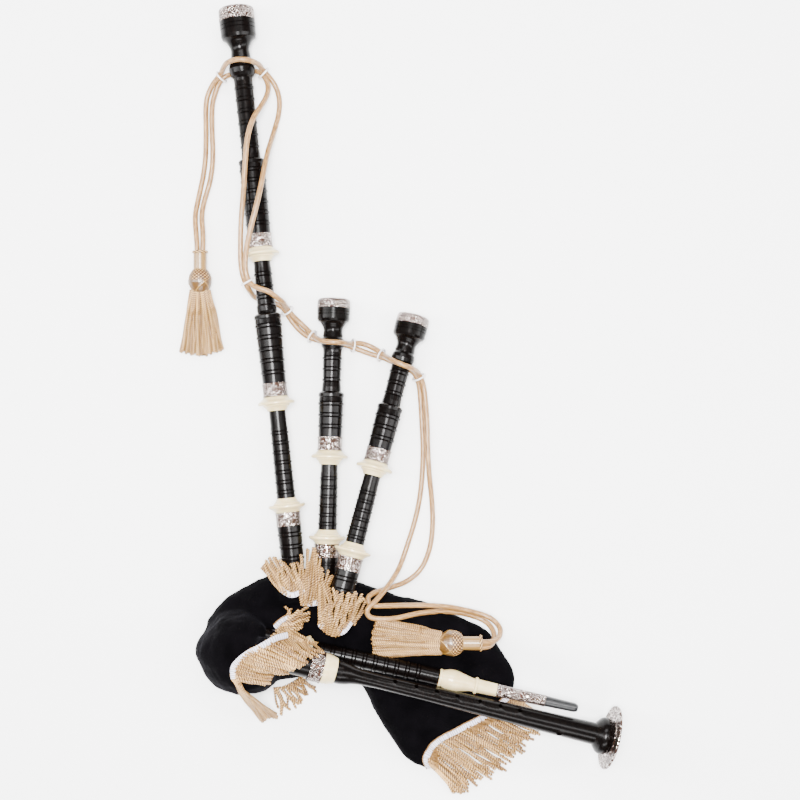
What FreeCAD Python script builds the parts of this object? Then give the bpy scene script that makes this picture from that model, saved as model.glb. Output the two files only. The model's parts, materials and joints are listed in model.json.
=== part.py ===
import FreeCAD, Part
import math
import os
import Sketcher
from FreeCAD import Matrix, Placement, Rotation, Vector
from types import SimpleNamespace

# Great Highland bagpipes laid flat: three drones, chanter and blowpipe in a
# velvet-covered bag, with drone cords, rings, tassels and bullion fringes.
# Origin: under the bag, on the surface it lies on. +Z up, +Y along the drones.
# Every stick is drawn along its own line: position 0 is the mouth of its stock
# and positions grow away from the bag.

SIZES = {
    # drones
    "stock_radius": 15.0, "stock_end_radius": 13.3, "core_radius": 12.9,
    "stock_bore": 9.6, "tenon_radius": 8.9, "hemp_gap": 0.05,
    "ferrule_radius": 15.2, "ferrule_rim": 15.8, "ferrule_length": 16.8,
    "mount_radius": 22.9, "mount_length": 17.6,
    "pin_radius": 10.4, "socket_radius": 10.48, "pin_depth": 60.0, "socket_depth": 86.0,
    "drone_bore": 4.2,
    "joint_radius": 11.6, "fit_gap": 0.3,
    "bass_stock_length": 125.0, "tenor_stock_length": 72.0, "upper_stock_length": 104.0,
    "bass_bottom_length": 89.2, "tenor_bottom_length": 71.3,
    "bass_lower_draw": 20.0, "bass_upper_draw": 8.0,
    "tenor_a_draw": 10.0, "tenor_b_draw": 15.0,
    "bass_cup_end": 120.7, "bass_middle_length": 179.3, "bass_top_length": 320.5,
    "tenor_cup_end": 90.0, "tenor_top_length": 207.5,
    "bass_bead": 16.5, "tenor_bead": 14.6, "bass_bell_radius": 22.4, "tenor_bell_radius": 20.6, "bell_cavity": 15.0,
    "bush_radius": 13.0, "bush_bore": 5.0, "bush_length": 8.0,
    # chanter and its stock
    "chanter_stock_length": 92.0, "chanter_stock_radius": 16.4, "chanter_socket": 11.0,
    "chanter_ferrule_radius": 18.9, "chanter_length": 352.0, "chanter_tenon": 30.0,
    "chanter_tenon_radius": 10.3, "sole_radius": 39.5, "sole_thickness": 4.0,
    "chanter_bore_end": 9.5, "finger_hole_radius": 2.6, "tone_hole_radius": 3.2,
    # blowpipe and its stock
    "blow_stock_length": 88.0, "blow_stock_radius": 13.0, "blow_flange_radius": 15.5,
    "blow_socket": 8.6, "blow_tenon_radius": 7.9, "blow_radius": 10.5,
    "blow_stick_length": 160.0, "blow_bore": 5.0, "mouth_tenon": 22.0,
    "bulb_radius": 13.0, "sleeve_radius": 7.7, "tip_radius": 5.7, "mouth_bore": 2.4,
    # cords
    "cord_radius": 3.3, "ring_radius": 8.0, "ring_section": 1.1, "tassel_neck": 8.3,
    "left_ball": 14.4, "right_ball": 15.8,
    # cover and bag
    "cover_wall": 1.6, "bag_gap": 1.2, "bag_wall": 2.4,
}

# where each stick's stock mouth lies and where its far end lies; a tassel runs from its collar
LINES = {
    "bass": (Vector(-65.3, 182.7, 42.0), Vector(-130.1, 797.2, 22.7)),
    "tenor_a": (Vector(-14.3, 142.9, 36.0), Vector(-6.8, 431.4, 20.9)),
    "tenor_b": (Vector(20.2, 127.8, 57.0), Vector(94.3, 412.6, 20.9)),
    "chanter": (Vector(-2.2, -24.2, 88.0), Vector(340.7, -115.3, 44)),
    "blowpipe": (Vector(-32.2, -1.9, 60.0), Vector(294.0, -76.3, 51.0)),
    "tassel_left": (Vector(-175.8, 492.3, 15.0), Vector(-175.8, 357.5, 15.0)),
    "tassel_right": (Vector(176.9, 5.0, 58.0), Vector(40.4, 5.0, 58.0)),
}


class Size:
    """A length together with the formula that gives it from the sheet's cells."""

    def __init__(self, value, text):
        self.value = value
        self.text = text

    @staticmethod
    def of(other):
        if isinstance(other, Size):
            return other
        return Size(float(other), repr(float(other)))

    def joined(self, other, sign, value):
        return Size(value, "(%s %s %s)" % (self.text, sign, other.text))

    def __add__(self, other):
        other = Size.of(other)
        return self.joined(other, "+", self.value + other.value)

    def __radd__(self, other):
        return Size.of(other) + self

    def __sub__(self, other):
        other = Size.of(other)
        return self.joined(other, "-", self.value - other.value)

    def __rsub__(self, other):
        return Size.of(other) - self

    def __mul__(self, other):
        other = Size.of(other)
        return self.joined(other, "*", self.value * other.value)

    def __neg__(self):
        return Size(-self.value, "(0 - %s)" % self.text)


doc = FreeCAD.newDocument("bagpipes")
sheet = doc.addObject("Spreadsheet::Sheet", "Sizes")
for number, (name, value) in enumerate(SIZES.items(), start=1):
    sheet.set("A%d" % number, name)
    sheet.set("B%d" % number, str(value))
    sheet.setAlias("B%d" % number, name)
doc.recompute()
size = SimpleNamespace(**{name: Size(value, "Sizes." + name) for name, value in SIZES.items()})
nodes = []


def keep(piece, label):
    """Names a finished sub-part, which is written under that name."""
    piece.Label = label
    nodes.append(piece)
    return piece


def along(line):
    """The placement that lays the local X axis along a stick's line."""
    start, end = LINES[line]
    heading = Rotation(Vector(1, 0, 0), end - start)
    return Placement(start, heading)


def level_turn(line):
    """A stick's placement, turned about its line so that local Z stays uppermost."""
    start, end = LINES[line]
    ahead = (end - start).normalize()
    side = Vector(0, 0, 1).cross(ahead).normalize()
    above = ahead.cross(side)
    frame = Matrix(ahead.x, side.x, above.x, start.x,
                   ahead.y, side.y, above.y, start.y,
                   ahead.z, side.z, above.z, start.z,
                   0, 0, 0, 1)
    return Placement(frame)


def origin_plane(body, role):
    return next(f for f in body.Origin.OriginFeatures if f.Role == role)


def profile_sketch(body, name, outline):
    """A closed sketch through (position, radius) points, each bound to the sheet.

    A third entry is the radius of the arc that leads from that point to the
    next one: positive swells outwards, negative is a cove.
    """
    sketch = body.newObject("Sketcher::SketchObject", name)
    sketch.AttachmentSupport = [(origin_plane(body, "XY_Plane"), "")]
    sketch.MapMode = "FlatFace"
    corners = [(Size.of(p[0]), Size.of(p[1])) for p in outline]
    spots = [Vector(x.value, r.value, 0) for x, r in corners]
    edges = []
    for index, point in enumerate(outline):
        start = spots[index]
        end = spots[(index + 1) % len(spots)]
        if len(point) == 3:
            edges.append(arc_between(start, end, Size.of(point[2]).value))
        else:
            edges.append(Part.LineSegment(start, end))
    sketch.addGeometry(edges, False)
    rules = []
    for index, edge in enumerate(edges):
        following = (index + 1) % len(edges)
        head = head_of(edge, spots[index])
        tail = 3 - head
        next_head = head_of(edges[following], spots[following])
        rules.append(Sketcher.Constraint("Coincident", index, tail, following, next_head))
        rules.append(Sketcher.Constraint("DistanceX", -1, 1, index, head, spots[index].x))
        rules.append(Sketcher.Constraint("DistanceY", -1, 1, index, head, spots[index].y))
        if len(outline[index]) == 3:
            rules.append(Sketcher.Constraint("Radius", index, abs(Size.of(outline[index][2]).value)))
    sketch.addConstraint(rules)
    bind_points(sketch, rules, outline, corners)
    return sketch


def bind_points(sketch, rules, outline, corners):
    """Ties the distances of a profile's points to the sheet's cells."""
    number = 0
    for point, (position, radius) in zip(outline, corners):
        for offset, formula in ((1, position), (2, radius)):
            if "Sizes." in formula.text:
                sketch.setExpression("Constraints[%d]" % (number + offset), formula.text)
        number += 4 if len(point) == 3 else 3


def arc_between(start, end, radius):
    """The short arc from start to end; it swells to the left of travel if radius > 0."""
    chord = end - start
    half = chord.Length / 2
    reach = math.sqrt(max(radius * radius - half * half, 0.0))
    rise = abs(radius) - reach
    left = Vector(-chord.y, chord.x, 0).normalize()
    if radius > 0:
        return Part.Arc(end, (start + end) / 2 + left * rise, start)
    return Part.Arc(start, (start + end) / 2 - left * rise, end)


def head_of(edge, spot):
    """1 if the edge's own first point is at the spot, else 2."""
    return 1 if (edge.StartPoint - spot).Length <= (edge.EndPoint - spot).Length else 2


def turned(name, line, outer, bore=()):
    """A piece turned on the lathe about a stick's line.

    outer and bore are lists of (position, radius) points, both from the bag's
    end to the far end. With no bore the piece is solid.
    """
    body = doc.addObject("PartDesign::Body", name)
    if bore:
        outline = list(outer) + [point[:2] for point in reversed(bore)]
    else:
        outline = list(outer) + [(outer[-1][0], 0.0), (outer[0][0], 0.0)]
    sketch = profile_sketch(body, name + "_profile", outline)
    turn = body.newObject("PartDesign::Revolution", name + "_turn")
    turn.Profile = sketch
    turn.ReferenceAxis = (sketch, ["H_Axis"])
    turn.Angle = 360.0
    body.Placement = along(line)
    return body


def tube(name, line, start, end, outside, inside):
    return turned(name, line, [(start, outside), (end, outside)], [(start, inside), (end, inside)])


def combed(start, end, first_radius, last_radius, bays):
    """Points of a combed stretch: in each bay a raised bead between two cuts, then a land."""
    start, end = Size.of(start), Size.of(end)
    first_radius, last_radius = Size.of(first_radius), Size.of(last_radius)
    bay_cuts = ((0.28, 0.0), (0.34, -0.7), (0.41, 0.7), (0.59, 0.7), (0.66, -0.7), (0.72, 0.0))
    points = []
    for bay in range(bays):
        for share, rise in bay_cuts:
            travel = (bay + share) / bays
            position = start + (end - start) * travel
            radius = first_radius + (last_radius - first_radius) * travel + rise
            points.append((position, radius))
    return points


def mount_outer(start, direction, length=size.mount_length):
    """Outline of a projecting mount. direction +1 has its narrow neck at the far end."""
    shape = ((0.00, 14.6), (0.20, 17.6), (0.36, 22.2), (0.42, 22.9), (0.49, 22.9),
             (0.55, 22.0), (0.58, 16.6), (0.66, 16.2), (0.74, 14.3), (0.90, 12.6), (1.00, 11.9))
    if direction < 0:
        shape = [(1.0 - share, radius) for share, radius in reversed(shape)]
    return [(start + length * share, size.mount_radius * (radius / 22.9)) for share, radius in shape]


def ferrule_outer(start, end, radius, rim):
    """Outline of an engraved ferrule: a plain band between two raised rims."""
    return [(start, rim), (start + 1.3, rim), (start + 1.7, radius),
            (end - 1.7, radius), (end - 1.3, rim), (end, rim)]


def group(label, pieces):
    """Separate solids that share one node."""
    joined = doc.addObject("Part::Compound", label)
    joined.Links = pieces
    return keep(joined, label)


# ---------------------------------------------------------------- drone stocks

def drone_stock(name, line, length):
    """Stock, its mount and its ferrule; the mount and ferrule sit on a thinner core."""
    ferrule_start = -(size.mount_length + size.ferrule_length)
    comb_start = ferrule_start - 48.0 if length.value > 80 else ferrule_start - 30.0
    outer = [(-length, size.stock_end_radius - 1.0), (-length + 1.5, size.stock_end_radius)]
    outer += [(comb_start - 1.0, size.stock_end_radius), (comb_start, size.stock_end_radius + 0.8)]
    outer += combed(comb_start, ferrule_start - 3.0, size.stock_end_radius + 0.8, size.stock_radius, 3)
    outer += [(ferrule_start - 3.0, size.stock_radius), (ferrule_start - 0.1, size.stock_radius),
              (ferrule_start - 0.1, size.core_radius), (-6.2, size.core_radius)]
    bore = [(-length, size.stock_bore), (-6.2, size.stock_bore)]
    keep(turned(name + "_stock", line, outer, bore), name + "_stock")
    mount = turned(name + "_stock_mount", line, mount_outer(-size.mount_length, 1),
                   [(-size.mount_length, size.core_radius + 0.1), (-6.1, size.core_radius + 0.1),
                    (-6.1, size.stock_bore + 0.2), (0.0, size.stock_bore + 0.2)])
    ferrule = turned(name + "_stock_ferrule", line,
                     ferrule_outer(ferrule_start, -size.mount_length - 0.1,
                                   size.ferrule_radius, size.ferrule_rim),
                     [(ferrule_start, size.core_radius + 0.1),
                      (-size.mount_length - 0.1, size.core_radius + 0.1)])
    return mount, ferrule


def hemp_lapping(name, line, stretches):
    """Waxed hemp wound in the recess of a tenon, one band for each (start, end, root, outside)."""
    bands = [tube("%s_%d" % (name, number), line, *stretch)
             for number, stretch in enumerate(stretches, start=1)]
    return group(name, bands)


def bottom_joint(name, line, length, bays):
    """Tenon in the stock, combed body, and the tuning pin that the next joint slides on."""
    pin_end = length + size.pin_depth + size.bass_lower_draw
    outer = [(-38.0, size.tenon_radius), (size.fit_gap, size.tenon_radius),
             (size.fit_gap, size.joint_radius)]
    outer += combed(size.fit_gap + 1.5, length - 1.5, size.joint_radius, size.pin_radius + 0.4, bays)
    outer += [(length, size.pin_radius + 0.4), (length, size.pin_radius),
              (pin_end - 42.0, size.pin_radius), (pin_end - 42.0, size.pin_radius - 0.9),
              (pin_end - 6.0, size.pin_radius - 0.9), (pin_end - 6.0, size.pin_radius),
              (pin_end, size.pin_radius)]
    bore = [(-38.0, size.drone_bore + 0.5), (-18.0, size.drone_bore + 0.5),
            (-18.0, size.drone_bore), (pin_end, size.drone_bore)]
    keep(turned(name + "_bottom_joint", line, outer, bore), name + "_bottom_joint")
    hemp_lapping(name + "_bottom_hemp", line,
                 [(-34.0, -4.0, size.stock_bore - size.hemp_gap, size.tenon_radius + 0.02),
                  (pin_end - 41.8, pin_end - 6.2, size.pin_radius, size.pin_radius - 0.88)])


def drone_reed(name, line, length):
    """Cane reed in the end of the bottom joint: body, tongue and bridle."""
    tip = -20.0 - length
    seat = size.drone_bore + 0.45
    reed = turned(name + "_reed_body", line,
                  [(tip, 2.6), (tip + 3.0, 4.2), (-39.0, 4.2), (-38.5, 4.6), (-20.0, seat)],
                  [(tip + 6.0, 2.2), (-20.0, 2.2)])
    bridle = tube(name + "_reed_bridle", line, -46.0, -42.5, 6.4, 5.2)
    tongue = doc.addObject("Part::Box", name + "_reed_tongue")
    tongue.Length, tongue.Width, tongue.Height = length * 0.45, 3.0, 0.5
    local = Placement(Vector(-44.0 - length * 0.4, -1.5, 4.35), Rotation())
    tongue.Placement = level_turn(line) * local
    group(name + "_reed", [reed, bridle, tongue])


def socket_fittings(name, line, start):
    """Mount and ferrule at the socket end of a middle or top joint."""
    core = size.core_radius + 0.1
    mount_end = start + size.mount_length
    mount = turned(name + "_mount", line, mount_outer(start, -1),
                   [(start, size.socket_radius + 0.1), (start + 6.1, size.socket_radius + 0.1),
                    (start + 6.1, core), (mount_end, core)])
    keep(mount, name + "_mount")
    ferrule = turned(name + "_ferrule", line,
                     ferrule_outer(mount_end + 0.1, mount_end + size.ferrule_length,
                                   size.ferrule_radius, size.ferrule_rim),
                     [(mount_end + 0.1, core), (mount_end + size.ferrule_length, core)])
    keep(ferrule, name + "_ferrule")


def cup_points(start, cup_end, shoulder_radius, bays):
    """Core under the fittings, then the combed cup that widens to its shoulder."""
    cup_start = start + size.mount_length + size.ferrule_length + 0.1
    points = [(start + 6.2, size.core_radius), (cup_start, size.core_radius),
              (cup_start, size.stock_radius - 0.4)]
    points += combed(cup_start + 6.0, cup_end - 7.0, size.stock_radius - 0.2, shoulder_radius - 0.3, bays)
    points += [(cup_end - 6.0, shoulder_radius - 0.8), (cup_end - 5.0, shoulder_radius),
               (cup_end - 1.5, shoulder_radius), (cup_end, shoulder_radius - 1.5)]
    return points


def middle_joint(name, line, start):
    """Socket below, tuning pin above."""
    cup_end = start + size.bass_cup_end
    body_end = start + size.bass_middle_length
    pin_end = body_end + size.pin_depth + size.bass_upper_draw
    outer = cup_points(start, cup_end, Size.of(16.9), 5)
    outer += [(cup_end + 2.0, size.joint_radius + 0.2), (cup_end + 4.5, size.joint_radius + 0.8),
              (cup_end + 10.5, size.joint_radius + 0.8), (cup_end + 13.0, size.joint_radius - 0.2)]
    outer += combed(cup_end + 14.5, body_end - 1.0, size.joint_radius - 0.2, size.pin_radius + 0.5, 3)
    outer += [(body_end, size.pin_radius + 0.4), (body_end, size.pin_radius),
              (pin_end - 42.0, size.pin_radius), (pin_end - 42.0, size.pin_radius - 0.9),
              (pin_end - 6.0, size.pin_radius - 0.9), (pin_end - 6.0, size.pin_radius),
              (pin_end, size.pin_radius)]
    bore = [(start + 6.2, size.socket_radius), (start + size.socket_depth, size.socket_radius),
            (start + size.socket_depth, size.drone_bore), (pin_end, size.drone_bore)]
    keep(turned(name, line, outer, bore), name)
    socket_fittings(name[:-6], line, start)
    hemp_lapping(name[:-6] + "_hemp", line,
                 [(pin_end - 41.8, pin_end - 6.2, size.pin_radius, size.pin_radius - 0.88)])


def bell_outer(end, reach, bead, bell):
    """Bead, waisted neck and bell; reach is how long they are beside the bass drone's."""
    neck = size.joint_radius + 0.3
    shape = ((93.0, size.joint_radius), (89.3, neck), (87.0, bead - 2.4), (83.0, bead - 0.7),
             (77.0, bead), (71.0, bead - 0.7), (66.8, bead - 2.6), (64.2, neck + 0.6),
             (57.9, neck, -16.0), (46.0, neck + 2.3, -14.0), (39.0, bell - 1.6), (35.0, bell - 0.3),
             (27.5, bell - 0.3), (27.0, bell - 0.9), (26.5, bell - 0.1), (22.5, bell - 0.1),
             (22.0, bell - 0.7), (21.5, bell), (16.5, bell), (16.5, bell - 1.6))
    points = []
    for back, radius, *arc in shape:
        points.append((end - reach * back, radius, *[bend * reach for bend in arc]))
    return points + [(end - 1.2, bell - 1.6)]


def top_joint(name, line, start, cup_end, length, shoulder_radius, bead, bell, reach, bays):
    """Socket below, slim combed stem, bead, waisted neck and bell above."""
    cup = start + cup_end
    end = start + length
    seat = end - 1.2 - size.bush_length
    outer = cup_points(start, cup, shoulder_radius, bays[0])
    outer += [(cup + 1.5, size.joint_radius + 0.4), (cup + 7.0, size.joint_radius + 0.2)]
    outer += combed(cup + 9.0, end - 94.0 * reach, size.joint_radius - 0.4,
                    size.joint_radius + 0.2, bays[1])
    outer += bell_outer(end, reach, bead, bell)
    bore = [(start + 6.2, size.socket_radius), (start + size.socket_depth, size.socket_radius),
            (start + size.socket_depth, size.drone_bore), (end - 36.0 * reach, size.drone_bore),
            (end - 32.0 * reach, size.bell_cavity - 2.0), (end - 26.0 * reach, size.bell_cavity),
            (seat, size.bell_cavity), (seat, size.bush_radius + 3.0),
            (end - 1.2, size.bush_radius + 3.0)]
    keep(turned(name + "_top_joint", line, outer, bore), name + "_top_joint")
    socket_fittings(name + "_top", line, start)
    band = end - reach * 16.3
    keep(turned(name + "_bell_ferrule", line,
                [(band, bell - 0.5), (band + 0.6, bell + 0.1), (end - 3.0, bell - 0.3),
                 (end - 1.2, bell - 1.0), (end, bell - 2.6)],
                [(band, bell - 1.5), (end - 1.1, bell - 1.5), (end - 1.1, size.bush_radius + 2.0),
                 (end, size.bush_radius + 2.0)]), name + "_bell_ferrule")
    keep(tube(name + "_bush", line, seat, end - 1.2, size.bush_radius + 2.95, size.bush_bore),
         name + "_bush")


def drones():
    bass_mount, bass_ferrule = drone_stock("bass", "bass", size.bass_stock_length)
    a_mount, a_ferrule = drone_stock("tenor_a", "tenor_a", size.tenor_stock_length)
    b_mount, b_ferrule = drone_stock("tenor_b", "tenor_b", size.upper_stock_length)
    group("stock_mounts", [bass_mount, a_mount, b_mount])
    group("stock_ferrules", [bass_ferrule, a_ferrule, b_ferrule])
    bottom_joint("bass", "bass", size.bass_bottom_length, 7)
    drone_reed("bass", "bass", 62.0)
    middle_start = size.bass_bottom_length + size.bass_lower_draw
    middle_joint("bass_middle_joint", "bass", middle_start)
    top_start = middle_start + size.bass_middle_length + size.bass_upper_draw
    top_joint("bass", "bass", top_start, Size.of(128.2), size.bass_top_length,
              Size.of(16.3), size.bass_bead, size.bass_bell_radius, 1.0, (6, 6))
    for name, draw in (("tenor_a", size.tenor_a_draw), ("tenor_b", size.tenor_b_draw)):
        bottom_joint(name, name, size.tenor_bottom_length, 6)
        drone_reed(name, name, 48.0)
        top_joint(name, name, size.tenor_bottom_length + draw, size.tenor_cup_end,
                  size.tenor_top_length, Size.of(15.9), size.tenor_bead, size.tenor_bell_radius,
                  0.72, (3, 3))


# ------------------------------------------------------------- chanter and blowpipe

def across(line, position, turn, radius, height):
    """A round cutter square to a stick's line; turn is counted from straight up, towards its left."""
    cutter = doc.addObject("Part::Cylinder", "cutter")
    cutter.setExpression("Radius", Size.of(radius).text)
    cutter.Height = height
    local = Placement(Vector(position, 0, 0), Rotation(Vector(1, 0, 0), -turn))
    cutter.Placement = level_turn(line) * local
    return cutter


def chanter():
    line = "chanter"
    length = size.chanter_length
    core = size.chanter_stock_radius - 2.8
    keep(turned("chanter_stock", line,
                [(-size.chanter_stock_length, size.chanter_stock_radius - 1.5),
                 (-size.chanter_stock_length + 2.0, size.chanter_stock_radius),
                 (-32.8, size.chanter_stock_radius), (-32.8, size.chanter_stock_radius + 0.5),
                 (-16.5, size.chanter_stock_radius + 0.5), (-16.5, core), (-1.7, core)],
                [(-size.chanter_stock_length, size.chanter_socket), (-1.7, size.chanter_socket)]),
         "chanter_stock")
    sleeve = size.chanter_stock_radius + 0.6
    keep(turned("chanter_stock_ferrule", line,
                ferrule_outer(Size.of(-32.7), Size.of(-16.5), size.chanter_ferrule_radius,
                              size.chanter_ferrule_radius + 0.5),
                [(-32.7, sleeve), (-16.5, sleeve)]), "chanter_stock_ferrule")
    keep(turned("chanter_stock_mount", line,
                [(-16.4, 18.4), (-11.4, 18.5), (-10.9, 17.9), (-10.2, 17.9), (-9.7, 18.2),
                 (-1.0, 16.0), (0.0, 15.3)],
                [(-16.4, core + 0.1), (-1.6, core + 0.1), (-1.5, size.chanter_socket + 0.2),
                 (0.0, size.chanter_socket + 0.2)]), "chanter_stock_mount")
    blank = turned("chanter_blank", line,
                   [(-size.chanter_tenon, size.chanter_tenon_radius),
                    (size.fit_gap, size.chanter_tenon_radius), (size.fit_gap, 14.0), (2.0, 14.6),
                    (7.0, 14.6, 60.0), (19.0, 12.0, -60.0), (34.0, 9.4), (52.0, 8.7),
                    (length - 20.0, 13.7), (length - 17.0, 17.4), (length - 14.0, 20.8, 9.0),
                    (length - 4.0, 21.9), (length, 20.4)],
                   [(-size.chanter_tenon, 2.7), (-20.0, 2.7), (-20.0, 2.0),
                    (length - 17.0, 9.0), (length - 16.0, size.chanter_bore_end),
                    (length, size.chanter_bore_end)])
    front_turn = 42.0
    front_holes = (73.0, 100.0, 126.0, 152.0, 181.0, 207.0, 232.0)
    cutters = [across(line, spot, front_turn, size.finger_hole_radius, 22.0) for spot in front_holes]
    cutters.append(across(line, 61.0, front_turn + 180.0, size.finger_hole_radius, 22.0))
    for side in (-90.0, 90.0):
        cutters.append(across(line, 287.0, front_turn + side, size.tone_hole_radius, 26.0))
    holes = doc.addObject("Part::MultiFuse", "finger_holes")
    holes.Shapes = cutters
    drilled = doc.addObject("Part::Cut", "chanter_drilled")
    drilled.Base = blank
    drilled.Tool = holes
    keep(drilled, "chanter")
    rim = size.sole_radius
    keep(turned("sole", line,
                [(length + 0.1, 23.5), (length + 0.9, 24.5), (length + 0.5, rim - 2.5),
                 (length + 0.1, rim - 1.6), (length + 0.3, rim - 0.4), (length + 1.4, rim),
                 (length + 2.8, rim - 0.5), (length + 3.2, rim - 2.2),
                 (length + size.sole_thickness, 14.0)],
                [(length + 0.1, size.chanter_bore_end), (length + size.sole_thickness, size.chanter_bore_end)]),
         "sole")
    keep(tube("chanter_hemp", line, -27.0, -4.0, size.chanter_socket - size.hemp_gap,
              size.chanter_tenon_radius + 0.02), "chanter_hemp")
    staple = tube("reed_staple", line, -41.0, -21.0, 2.6, 1.8)
    blades = []
    for side in (1, -1):
        blade = doc.addObject("Part::Wedge", "reed_blade")
        blade.Xmin, blade.Xmax, blade.X2min, blade.X2max = -6.2, 6.2, -2.7, 2.7
        blade.Ymin, blade.Ymax = 0.0, 26.0
        blade.Zmin, blade.Zmax, blade.Z2min, blade.Z2max = 0.15, 0.9, 0.15, 2.6
        forward = Rotation(Vector(0, 0, 1), -90.0)
        flip = Rotation(Vector(1, 0, 0), 0.0 if side > 0 else 180.0)
        blade.Placement = level_turn(line) * Placement(Vector(-67.2, 0, 0), flip * forward)
        blades.append(blade)
    group("chanter_reed", [staple] + blades)


def blowpipe():
    line = "blowpipe"
    stock = size.blow_stock_radius
    end = size.blow_stick_length
    keep(turned("blowpipe_stock", line,
                [(-size.blow_stock_length, stock - 1.5), (-size.blow_stock_length + 2.0, stock),
                 (-10.2, stock), (-10.2, stock - 2.6), (-1.7, stock - 2.6)],
                [(-size.blow_stock_length, size.blow_socket), (-1.7, size.blow_socket)]),
         "blowpipe_stock")
    flange = size.blow_flange_radius
    keep(turned("blowpipe_stock_mount", line,
                [(-10.1, 13.3), (-7.5, flange - 0.8), (-6.4, flange), (-5.0, flange),
                 (-4.0, flange - 1.0), (-3.6, 13.4), (-2.0, 12.6), (0.0, 11.2)],
                [(-10.1, stock - 2.5), (-1.6, stock - 2.5), (-1.5, size.blow_socket + 0.2),
                 (0.0, size.blow_socket + 0.2)]), "blowpipe_stock_mount")
    outer = [(-30.0, size.blow_tenon_radius), (size.fit_gap, size.blow_tenon_radius),
             (size.fit_gap, size.blow_radius - 0.4)]
    outer += combed(5.0, 140.0, size.blow_radius - 0.2, size.blow_radius, 10)
    outer += [(end - 1.0, size.blow_radius), (end, size.blow_radius - 0.8)]
    socket = end - 1.0 - size.mouth_tenon
    keep(turned("blowpipe", line, outer,
                [(-30.0, size.blow_bore), (socket, size.blow_bore),
                 (socket, 7.2), (end, 7.2)]), "blowpipe")
    keep(tube("blowpipe_hemp", line, -27.0, -4.0, size.blow_socket - size.hemp_gap,
              size.blow_tenon_radius + 0.02), "blowpipe_hemp")
    mouthpiece(line, end)
    flap = doc.addObject("Part::Cylinder", "flap")
    flap.Radius = 9.6
    flap.Height = 1.2
    upright = Placement(Vector(-size.blow_stock_length.value - 1.4, 0, 0), Rotation(Vector(0, 1, 0), 90))
    flap.Placement = level_turn(line) * upright
    keep(flap, "valve_flap")


def mouthpiece(line, end):
    """Ivory-coloured bulb on a tenon, the engraved sleeve and the black tip."""
    start = end + size.fit_gap
    keep(turned("mouthpiece_bulb", line,
                [(end - size.mouth_tenon, 6.5), (start, 6.5), (start, 10.2), (end + 1.0, 10.9),
                 (end + 3.2, 10.9), (end + 4.2, 10.2), (end + 11.0, size.bulb_radius - 0.6, 30.0),
                 (end + 25.0, size.bulb_radius - 0.8), (end + 34.0, 10.0, -45.0), (end + 45.0, 8.1),
                 (end + 45.6, 10.0), (end + 46.4, 10.4), (end + 48.0, 10.4), (end + 48.8, 9.8),
                 (end + 49.4, 8.5), (end + 73.0, 7.9)],
                [(end - size.mouth_tenon, 3.2), (end + 60.0, 3.2), (end + 60.0, 5.3),
                 (end + 73.0, 5.3)]), "mouthpiece_bulb")
    keep(tube("mouthpiece_hemp", line, end - 19.0, end - 3.0, 7.15, 6.52), "mouthpiece_hemp")
    keep(turned("mouthpiece_sleeve", line,
                [(end + 73.1, 8.2), (end + 76.0, 8.2), (end + 76.3, size.sleeve_radius),
                 (end + 102.0, 7.3), (end + 102.3, 7.7), (end + 104.2, 7.7), (end + 104.5, 7.3),
                 (end + 131.5, 6.9), (end + 131.8, 7.3), (end + 134.6, 7.2), (end + 135.0, 6.9)],
                [(end + 73.1, 6.1), (end + 135.0, 6.1)]), "mouthpiece_sleeve")
    keep(turned("mouthpiece_tip", line,
                [(end + 60.2, 5.2), (end + 73.2, 5.2), (end + 73.2, 6.0), (end + 135.2, 6.0),
                 (end + 135.2, 6.6), (end + 172.0, size.tip_radius, 8.0), (end + 176.5, 3.6)],
                [(end + 60.2, size.mouth_bore), (end + 176.5, size.mouth_bore)]), "mouthpiece_tip")


# ---------------------------------------------------------------- cover, bag and fringes

BODY_CENTRE = Vector(40, -10, 0)
BODY_OUTLINE = ((-148, 6), (-165, 21), (-151, 43), (-136, 57), (-99, 76), (-75, 85), (-48, 90),
                (24, 73), (62, 60), (102, 49), (150, 29), (189, 5), (202, -13), (217, -52),
                (213, -63), (188, -92), (163, -103), (126, -121), (112, -136), (112, -156),
                (88, -151), (75, -136), (45, -88), (26, -52), (8, -38), (-40, -36), (-80, -42),
                (-120, -30))
NECK_CENTRE = Vector(-122, -8, 0)
NECK_OUTLINE = ((-150, 32), (-163, 14), (-175, -1), (-178, -13), (-171, -25), (-163, -40),
                (-145, -52), (-117, -60), (-100, -61), (-86, -56), (-76, -42), (-73, -10),
                (-82, 20), (-105, 42), (-130, 44))
# share of the height, and how far out the outline reaches at that share
LEVELS = ((0.0, 0.93), (0.12, 0.99), (0.3, 1.0), (0.5, 0.97), (0.7, 0.89), (0.85, 0.77),
          (0.95, 0.58), (1.0, 0.36))


def body_height(x, y):
    return 47.0 - 0.03 * x + 0.1 * y


def neck_height(x, y):
    return 156.0 + 0.5 * x


def pillow(outline, centre, height, inset):
    """A closed soft form: the plan outline, drawn in level by level over a flat underside."""
    wires = []
    for share, reach in LEVELS:
        points = []
        for x, y in outline:
            arm = Vector(x, y, 0) - centre
            spot = centre + arm.normalize() * (Vector(x, y, 0).distanceToPoint(centre) * reach - inset)
            rise = inset + share * (height(spot.x, spot.y) - 2 * inset)
            points.append(Vector(spot.x, spot.y, rise))
        curve = Part.BSplineCurve()
        curve.interpolate(points, PeriodicFlag=True)
        wires.append(Part.Wire([curve.toShape()]))
    return Part.makeLoft(wires, True, True)


def soft_form(inset):
    body = pillow(BODY_OUTLINE, BODY_CENTRE, body_height, inset)
    neck = pillow(NECK_OUTLINE, NECK_CENTRE, neck_height, inset)
    return body.fuse(neck)


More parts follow.
